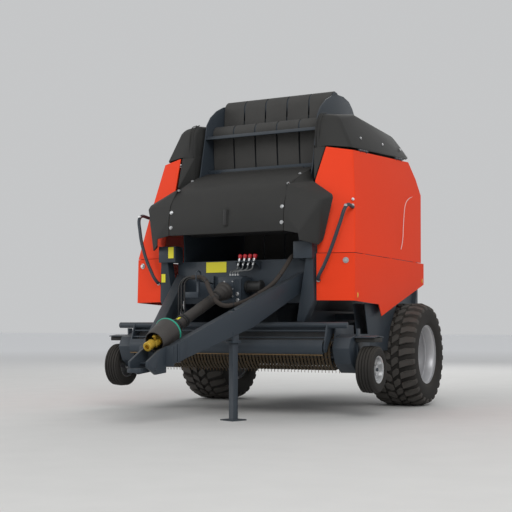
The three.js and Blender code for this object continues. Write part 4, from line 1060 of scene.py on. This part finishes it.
class BALER_OT_belts(PieceOperator):
    """Makes the belts and the rollers they run on"""
    bl_idname = "baler.belts"
    bl_label = "Belts"

    def make(self, sizes):
        low = arc(*FRONT_ROLLERS[0], 80, 180, 10) + [(-1006, 2600), (-1000, 2480), (-985, 2320)]
        high = arc(*FRONT_ROLLERS[1], 64, 184, 12) + [(-790, 2806)]
        self.set("front_belt_runs", "chassis", sizes, [low, high], -6)
        over = [(50, 2352)] + arc(*HINGE_ROLLER, -37, 66, 12) + [(-604, 3088)]
        self.set("top_belt_runs", "chassis", sizes, [over], -6)
        settle(self.plain_roller("hinge_roller", *HINGE_ROLLER), "chassis", *PAINT)
        rollers = [self.plain_roller("roller", *place) for place in FRONT_ROLLERS]
        settle(joined("front_rollers", *rollers), "chassis", *PAINT, ["front_belts"])
        self.set("chamber_belt_runs", "chassis", sizes, [arc(*DRUM, BELT_CIRCLE, 126, 208, 26)])
        self.rollers("chamber_rollers", "chassis", (205, 128), "chamber_belts")
        self.set("tailgate_belt_runs", "tailgate", sizes, [arc(*DRUM, BELT_CIRCLE, -78, 96, 48)])
        self.rollers("tailgate_rollers", "tailgate", (286, 345, 48, 92), "tailgate_belts")

    def set(self, name, body, sizes, runs, thick=6):
        """Belts side by side along each run."""
        half = CHAMBER_HALF * 1000
        pitch = 2 * half / sizes.belt_count
        made = []
        for run in runs:
            for i in range(sizes.belt_count):
                left = -half + i * pitch + BELT_GAP / 2
                belt = plate_x("belt", band(run, thick), left, left + pitch - BELT_GAP)
                made.append(eased(belt, 0.0012, 1, 50))
        settle(joined(name, *made), body, "rubber_belting", "belt")

    def plain_roller(self, name, y, z, radius):
        """A smooth roller just inside belts that run at a radius."""
        return rod(name, at(-ROLLER_HALF, y, z), at(ROLLER_HALF, y, z), (radius - 6.5) / 1000, 48)

    def rollers(self, name, body, angles, node):
        """Rollers that bear on the outside of the bale's belts, with raised slats."""
        made = []
        for angle in angles:
            profile = []
            for k in range(60):
                a, r = math.tau * k / 60, 0.1035 if k % 6 in (0, 1) else 0.097
                profile.append(at(-ROLLER_HALF, *on_drum(angle)) + Vector((0, r * math.cos(a), r * math.sin(a))))
            made.append(eased(slab("roller", profile, (2 * ROLLER_HALF / 1000, 0, 0)), 0.001, 1, 30))
        settle(joined(name, *made), body, *PAINT, [node])


SHAFT_NOSE, SHAFT_TAIL = at(0, -3100, 625), at(0, -1830, 1113)


def on_shaft(piece):
    """Takes a piece made along X at the origin onto the drive shaft's line."""
    return lay(piece, line_matrix(SHAFT_NOSE, SHAFT_TAIL))


class BALER_OT_shaft(PieceOperator):
    """Makes the drive shaft with its two yokes, and the guard round it"""
    bl_idname = "baler.shaft"
    bl_label = "Drive shaft"

    def make(self, sizes):
        hub = turned("hub", [(0, 0.019), (0, 0.034), (0.004, 0.038), (0.018, 0.038), (0.02, 0.034), (0.026, 0.034),
                             (0.028, 0.038), (0.048, 0.038), (0.05, 0.033), (0.057, 0.033), (0.059, 0.037),
                             (0.078, 0.037), (0.08, 0.03), (0.08, 0), (0.03, 0), (0.03, 0.019)], 48)
        smooth(hub, 35)
        ears = []
        for sign in (-1, 1):
            ear = [(0.07, 0.018 * sign, -0.02), (0.11, 0.036 * sign, -0.022), (0.148, 0.036 * sign, -0.015),
                   (0.148, 0.036 * sign, 0.015), (0.11, 0.036 * sign, 0.022), (0.07, 0.018 * sign, 0.02)]
            ears.append(eased(slab("ear", [Vector(c) for c in ear], (0, 0.011 * sign, 0)), 0.003, 2))
            far = [(0.215, -0.024, 0.02 * sign), (0.16, -0.022, 0.036 * sign), (0.118, -0.015, 0.036 * sign),
                   (0.118, 0.015, 0.036 * sign), (0.16, 0.022, 0.036 * sign), (0.215, 0.024, 0.02 * sign)]
            ears.append(eased(slab("ear", [Vector(c) for c in far], (0, 0, 0.011 * sign)), 0.003, 2))
        middle = Vector((0.133, 0, 0))
        trunnions = [rod("trunnion", middle - way, middle + way, 0.013, 24)
                     for way in (Vector((0, 0.0515, 0)), Vector((0, 0, 0.0515)))]
        collar = smooth(turned("collar", [(0.2, 0), (0.2, 0.034), (0.206, 0.04), (0.234, 0.04), (0.24, 0.034),
                                          (0.262, 0.03), (0.27, 0.024), (1.3598, 0.024), (1.3598, 0)], 40), 35)
        settle(on_shaft(joined("shaft_and_yokes", hub, *ears, *trunnions, collar)), "drive_shaft",
               "yellow_zinc", "yoke", ["drive_shaft"])

        bell = [(0.1125, 0.079), (0.1125, 0.085), (0.12, 0.088), (0.2, 0.0985), (0.204, 0.1), (0.21, 0.1),
                (0.214, 0.1), (0.318, 0.1135), (0.326, 0.116), (0.345, 0.116), (0.352, 0.113), (0.372, 0.1),
                (0.405, 0.078), (0.432, 0.06), (0.446, 0.052), (0.46, 0.048), (0.6, 0.048), (0.602, 0.046),
                (0.85, 0.046), (0.852, 0.048), (1.2, 0.048), (1.225, 0.056), (1.25, 0.063), (1.262, 0.063),
                (1.268, 0.067), (1.3, 0.074), (1.312, 0.074), (1.318, 0.078), (1.345, 0.084), (1.351, 0.083),
                (1.351, 0.077), (1.31, 0.07), (1.26, 0.058), (1.225, 0.05), (1.2, 0.0262), (0.45, 0.0262),
                (0.43, 0.048), (0.36, 0.104), (0.34, 0.11), (0.12, 0.083)]
        guard = smooth(turned("guard", bell, 72), 30)
        settle(on_shaft(guard), "chassis", "guard_polypropylene", "black_plastic", ["shaft_guard"])
        collar = [(0.326, 0.115), (0.327, 0.1195), (0.331, 0.1215), (0.339, 0.1215), (0.343, 0.1195),
                  (0.344, 0.115)]
        settle(on_shaft(smooth(turned("guard_collar", collar, 72), 35)), "chassis", "green_collar", "ring_green")
        rings = [turned("ring", [(x, 0.045), (x, 0.055), (x + 0.003, 0.058), (x + 0.015, 0.058), (x + 0.018, 0.055),
                                 (x + 0.018, 0.045)], 40) for x in (0.462, 0.56, 0.588, 1.16)]
        settle(on_shaft(smooth(joined("guard_rings", *rings), 35)), "chassis", *RUBBER)
        wrap = [Vector((0.492 + dx, 0.0485 * math.sin(a), 0.0485 * math.cos(a)))
                for dx, turns in ((0, range(9)), (0.052, range(8, -1, -1)))
                for a in [-1.2 + 1.5 * k / 8 for k in turns]]
        wrap = [Vector((v.x, -v.y, v.z)) for v in wrap]
        label = ring("shaft_label", wrap)
        edit(label, (bpy.ops.mesh.edge_face_add, {}))
        modified(label, "SOLIDIFY", thickness=0.0012, offset=1)
        settle(on_shaft(label), "chassis", "yellow_vinyl", "label")


COUPLING_BODY = [(-0.03, 0), (-0.03, 0.009), (-0.012, 0.011), (-0.01, 0.015), (0.004, 0.015), (0.006, 0.011),
                 (0.02, 0.011), (0.022, 0.014), (0.036, 0.014), (0.038, 0.01), (0.042, 0.01), (0.042, 0)]
COUPLING_CAP = [(0.04, 0), (0.04, 0.013), (0.046, 0.017), (0.068, 0.02), (0.076, 0.018), (0.078, 0.012),
                (0.078, 0)]


class BALER_OT_gearbox(PieceOperator):
    """Makes the gearbox, the four hydraulic couplings above it and their hoses"""
    bl_idname = "baler.gearbox"
    bl_label = "Gearbox and couplings"

    def make(self, sizes):
        body = eased(box("body", (-120, -1745, 1010), (130, -1550.4, 1240)), 0.008, 3)
        face = eased(box("face", (-60, -1775, 1004), (130, -1740, 1223)), 0.006, 3)
        cover = eased(box("cover", (-44, -1782, 1050), (60, -1774, 1206)), 0.003, 2)
        top = eased(box("top", (-40, -1740, 1238), (110, -1600, 1250)), 0.003, 2)
        flange = smooth(turned("flange", [(0.002, 0), (0.002, 0.03), (0.03, 0.034), (0.03, 0.05), (0.045, 0.052),
                                          (0.08, 0.056), (0.1, 0.056), (0.1, 0)], 40), 35)
        lay(flange, line_matrix(SHAFT_TAIL, SHAFT_TAIL + (SHAFT_TAIL - SHAFT_NOSE)))
        ribs = [eased(box("rib", (x, -1779, 1010), (x + 6, -1770, 1218)), 0.001, 1) for x in (70, 84, 98, 112)]
        shelf = eased(box("shelf", (22, -1690, 1377), (228, -1550.4, 1384)), 0.0015, 1)
        prop = [eased(plate_x("prop", [(-1551, 1378), (-1551, 1310), (-1680, 1378)], x, x + 5), 0.001, 1)
                for x in (24, 221)]
        settle(joined("gearbox_housing", body, face, cover, top, flange, shelf, *prop, *ribs), "chassis",
               *PAINT, ["gearbox"])
        drum = smooth(turned("cross_shaft", [(0.11, 0), (0.11, 0.05), (0.14, 0.05), (0.142, 0.058), (0.158, 0.058),
                                             (0.16, 0.05), (0.27, 0.05), (0.272, 0.058), (0.29, 0.058),
                                             (0.296, 0.052), (0.3, 0.03), (0.3, 0)], 48, at(0, -1660, 1150)), 35)
        settle(drum, "chassis", *RUBBER)
        front = Vector((0, -1, 0))
        fixings = [(at(x, -1779, z), front) for x, z in ((98, 1081), (100, 1026))]
        settle(bolts("gearbox_big_bolts", fixings, 0.013), "chassis", *ZINC)
        small = [(at(x, -1781.5, z), front) for x in (-34, 50) for z in (1062, 1128, 1194)]
        settle(bolts("gearbox_bolts", small, 0.006), "chassis", *ZINC)
        self.couplings()

    def couplings(self):
        """Four hydraulic couplings with red caps, straps and short hoses."""
        silver, red, hoses = [], [], []
        for i in range(4):
            x = 47 + i * 51
            foot, head = at(x, -1655, 1373), at(x + 5, -1644, 1411)
            line = line_matrix(foot, head)
            silver.append(smooth(lay(turned("body", COUPLING_BODY, 24), line), 35))
            red.append(smooth(lay(turned("cap", COUPLING_CAP, 24), line), 35))
            strap = pipe("strap", [head + Vector((0.004, 0, 0.03)), head + Vector((0.02, -0.014, 0.034)),
                                   head + Vector((0.024, -0.02, 0.008)), head + Vector((0.012, -0.012, -0.01))],
                         0.0022, 2)
            red.append(strap)
            low = at(4 + i * 25, -1736 + i * 3, 1250)
            route = [foot + (foot - head) * 0.6, foot + Vector((-0.012, -0.012, -0.06)),
                     low.lerp(foot, 0.35) + Vector((-0.006, -0.012, 0)), low + Vector((0, 0, 0.03)), low]
            hoses.append(smooth(pipe("hose", route, 0.0062, 4), 50))
            nut = rod("nut", low - Vector((0, 0, 0.002)), low + Vector((0, 0, 0.018)), 0.0095, 6)
            silver.append(smooth(nut, 20))
        settle(joined("couplings", *silver), "chassis", *ZINC)
        settle(joined("coupling_caps", *red), "chassis", "red_caps", "coupling_red")
        settle(joined("coupling_hoses", *hoses), "chassis", "steel_braid", "hose")


class BALER_OT_labels(PieceOperator):
    """Makes the blank yellow plates"""
    bl_idname = "baler.labels"
    bl_label = "Blank plates"

    def make(self, sizes):
        for i, (x0, x1, y, z0, z1) in enumerate(((-358, -140, -1550, 1293, 1392), (-694, -634, -1690, 1432, 1538),
                                                 (-790, -746, -1655, 1206, 1286))):
            border = eased(box("border", (x0 - 4, y - 1.2, z0 - 4), (x1 + 4, y - 0.2, z1 + 4)), 0.0004, 1)
            settle(joined(f"label_border_{i}", border), "chassis", "black_vinyl", "label")
            plate = eased(box("plate", (x0, y - 2.0, z0), (x1, y - 1.1, z1)), 0.0004, 1)
            settle(joined(f"label_{i}", plate), "chassis", "yellow_vinyl", "label")


REEL = (-1500, 580)  # y and z of the pickup reel's centre, mm
TINE_BARS, TINE_CIRCLE, REEL_START = 4, 120, 0.3  # bars, their radius in mm, and the first one's angle


class BALER_OT_pickup(PieceOperator):
    """Makes the pickup's bands, its reel and the spring tines"""
    bl_idname = "baler.pickup"
    bl_label = "Pickup"

    def make(self, sizes):
        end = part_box("pickup_strippers")[1].x * 1000
        run = [(-1272, 452), (-1320, 437), (-1360, 430)] + arc(*REEL, 195, 250, 95, 20)[1:] + [(-1255, 792)]
        pitch = sizes.band_pitch * 1000
        count = int(2 * end / pitch)
        first = plate_x("band", band(run, -5), -end, -end + pitch * 0.62)
        eased(first, 0.0012, 1, 40)
        modified(first, "ARRAY", count=count, use_relative_offset=False, use_constant_offset=True,
                 constant_offset_displace=(pitch / 1000, 0, 0))
        rails = [eased(box("rail", (-end, y0, z0), (end, y1, z1)), 0.001, 1)
                 for y0, z0, y1, z1 in ((-1290, 452, -1262, 460), (-1296, 780, -1256, 789))]
        settle(joined("pickup_bands", first, *rails), "pickup", "worn_band_steel", "steel",
               ["pickup_strippers"])
        centre = at(0, *REEL)
        bars = [rod("shaft", at(-end - 10, *REEL), at(end + 10, *REEL), 0.03, 32)]
        for x in (-996, -500, -6, 490, 984):
            bars.append(smooth(turned("disc", [(x / 1000, 0.02), (x / 1000, 0.138), (x / 1000 + 0.008, 0.138),
                                               (x / 1000 + 0.008, 0.02)], 40, centre), 30))
        tine = self.tine(pitch)
        for k in range(TINE_BARS):
            turn = math.tau * k / TINE_BARS + REEL_START
            middle = at(0, REEL[0] + TINE_CIRCLE * math.cos(turn), REEL[1] + TINE_CIRCLE * math.sin(turn))
            bars.append(rod("bar", middle - Vector((0.996, 0, 0)), middle + Vector((0.996, 0, 0)), 0.0135, 16))
        # The reel takes the darkened steel: painted shade under the bands.
        settle(joined("reel_bars", *bars), "pickup_reel", *SHADE, ["pickup_reel"])
        modified(tine, "ARRAY", count=count // 2, use_relative_offset=False, use_constant_offset=True,
                 constant_offset_displace=(2 * pitch / 1000, 0, 0))
        lay(tine, Matrix.Translation(Vector((-end / 1000 + pitch * 0.81 / 1000, 0, 0))))
        lay(tine, Matrix.Translation(centre) @ Matrix.Rotation(REEL_START, 4, "X")
            @ Matrix.Translation(Vector((0, TINE_CIRCLE / 1000, 0))))
        tines = rounds(tine, "tines", TINE_BARS, math.tau / TINE_BARS, centre)
        settle(tines, "pickup_reel", "worn_spring_steel", "tine_steel")
        self.guard()

    def guard(self):
        """What the crop guard carries: its apron, two rods and the press plate with a bare lip."""
        # The apron takes the darkened steel: painted shade.
        apron = plate_x("apron", band([(-1702, 754), (-1738, 700), (-1786, 656)], 3), -988, 988)
        eased(apron, 0.0008, 1)
        settle(joined("guard_apron", apron), "wind_guard", *SHADE)
        rods = [smooth(rod("rod", at(-990, y, z), at(990, y, z), 0.0075, 16))
                for y, z in ((-1810, 750), (-1830, 692))]
        line = filleted([(-1868, 672), (-1899, 640), (-1906, 600), (-1899, 562), (-1884, 546)], 18, 3)
        plate = eased(plate_x("plate", band(line, -4), -985, 985), 0.0012, 1, 50)
        settle(joined("guard_plate", plate, *rods), "wind_guard", *PAINT)
        lip = smooth(rod("guard_lip", at(-984, -1885, 545), at(984, -1885, 545), 0.005, 12))
        settle(lip, "wind_guard", "worn_spring_steel", "tine_steel")
        # A black block in the covers' plastic above each gauge wheel: painted shade in the gap between the pickup
        # side and the tyre.
        shade_block = eased(box("gauge_shade_block", (1190, -1655, 652), (1372, -1468, 690)), 0.006, 2)
        both_sides(shade_block, "gauge_shade_block_{}", "pickup", *MOULDED)

    def tine(self, pitch):
        """A double spring tine round a bar at the origin, its two fingers a pitch apart."""
        step = pitch / 1000
        wire = []
        for sign in (0, 1):
            x = sign * step
            points = [Vector((x, 0.101, 0.012)), Vector((x, 0.06, 0.018)), Vector((x, 0.024, 0.02))]
            inward = 1 if sign == 0 else -1
            for k in range(1, 8):
                a = math.pi / 2 + k * math.pi / 2
                points.append(Vector((x + inward * k * 0.0014, 0.02 * math.cos(a), 0.02 * math.sin(a))))
            wire.append(pipe("finger", points, 0.0028, 1, 2))
        return joined("tine", *wire)


GATE_RIBS = (((1545, 1700), (700, 2130)), ((1555, 1560), (600, 1560)), ((1545, 1400), (640, 1090)))


class BALER_OT_rest(PieceOperator):
    """Makes the net roll, the tailgate's cylinders and stiffeners, and the rear lamps"""
    bl_idname = "baler.rest"
    bl_label = "Net roll and tailgate"

    def make(self, sizes):
        roll = [(-0.5999, 0), (-0.5999, 0.024), (-0.58, 0.026), (-0.577, 0.026), (-0.575, 0.04), (-0.575, 0.112),
                (-0.57, 0.1195), (0.57, 0.1195), (0.575, 0.112), (0.575, 0.04), (0.577, 0.026), (0.58, 0.026),
                (0.5999, 0.024), (0.5999, 0)]
        settle(smooth(turned("net_winding", roll, 64, at(0, -1440, 1760)), 35), "net_roll", "wound_net", "net",
               ["net_roll"])
        for side, sign in SIDES:
            x0, x1 = sorted((sign * 380, sign * 560))
            case = eased(box("lamp_case_" + side, (x0, 1690, 956), (x1, 1742, 1039)), 0.006, 3)
            settle(case, "tailgate", *MOULDED)
            red = eased(box("lamp_red_" + side, (x0 + 8, 1736, 966), (x0 + 96, 1750, 1028)), 0.004, 2)
            settle(red, "tailgate", "red_caps", "coupling_red")
            amber = eased(box("lamp_amber_" + side, (x0 + 102, 1736, 966), (x1 - 8, 1750, 1028)), 0.004, 2)
            settle(amber, "tailgate", "amber_reflector", "label")
            self.gate_side(side, sign)
            eased_node("cylinder_barrel_" + side, "barrel_" + side, *PAINT)
            eased_node("cylinder_rod_" + side, "rod_" + side, "chrome_plate", "rod_chrome")

    def gate_side(self, side, sign):
        """Stiffeners, bearing housings and fixings on one side of the tailgate."""
        made = []
        for (y0, z0), (y1, z1) in GATE_RIBS:
            along = Vector((y1 - y0, z1 - z0)).normalized()
            across = Vector((-along.y, along.x)) * 32
            outline = [(y0 + across.x, z0 + across.y), (y1 + across.x, z1 + across.y),
                       (y1 - across.x, z1 - across.y), (y0 - across.x, z0 - across.y)]
            made.append(eased(plate_x("stiffener", outline, sign * OUT, sign * (OUT + 14)), 0.006, 3))
        fixings = [(at(sign * (OUT + 0.2), y, z), Vector((sign, 0, 0)))
                   for y, z in ((560, 1250), (556, 1450), (556, 1670), (560, 1870), (575, 2070), (600, 2270))]
        for angle, lift, reach in ((345, 40, 0.07), (48, 40, 0.07), (286, 0, 0.045)):
            hub = at(sign * (OUT + lift), *on_drum(angle))
            profile = [(-0.001, 0), (-0.001, reach), (0.01, reach), (0.013, reach * 0.72), (0.026, reach * 0.62),
                       (0.03, reach * 0.5), (0.03, 0.014), (0.036, 0.012), (0.036, 0)]
            housing = turned("housing", [(sign * a, r) for a, r in profile], 40, hub)
            made.append(smooth(housing, 35))
            fixings += [(hub + Vector((sign * 0.0095, reach * 0.84 * math.cos(a), reach * 0.84 * math.sin(a))),
                         Vector((sign, 0, 0))) for a in (0.785, 2.356, 3.927, 5.498)]
        settle(joined("gate_ribs_" + side, *made), "tailgate", *PAINT)
        settle(bolts("gate_bolts_" + side, fixings, 0.008), "tailgate", *ZINC)


STEPS = (BALER_OT_stage, BALER_OT_hoses, BALER_OT_road_wheels, BALER_OT_gauge_wheels, BALER_OT_steelwork,
         BALER_OT_drawbar_fittings, BALER_OT_hood, BALER_OT_roof, BALER_OT_doors, BALER_OT_belts, BALER_OT_shaft,
         BALER_OT_gearbox, BALER_OT_labels, BALER_OT_pickup, BALER_OT_rest)


class BALER_PT_panel(bpy.types.Panel):
    bl_idname = "BALER_PT_panel"
    bl_label = "Round baler"
    bl_space_type = "VIEW_3D"
    bl_region_type = "UI"
    bl_category = "Baler"

    def draw(self, context):
        for group in (context.scene.baler_sizes, context.scene.baler_colours):
            for key in group.__annotations__:
                self.layout.prop(group, key)
        for step in STEPS:
            self.layout.operator(step.bl_idname)


CLASSES = (BalerSizes, BalerColours, *STEPS, BALER_PT_panel)


def register():
    for cls in CLASSES:
        bpy.utils.register_class(cls)
    bpy.types.Scene.baler_sizes = bpy.props.PointerProperty(type=BalerSizes)
    bpy.types.Scene.baler_colours = bpy.props.PointerProperty(type=BalerColours)


def unregister():
    del bpy.types.Scene.baler_colours
    del bpy.types.Scene.baler_sizes
    for cls in reversed(CLASSES):
        bpy.utils.unregister_class(cls)


def main():
    """Makes the whole machine."""
    register()
    make_looks()
    for step in STEPS:
        group, name = step.bl_idname.split(".")
        getattr(getattr(bpy.ops, group), name)()


if __name__ == "__main__":
    main()
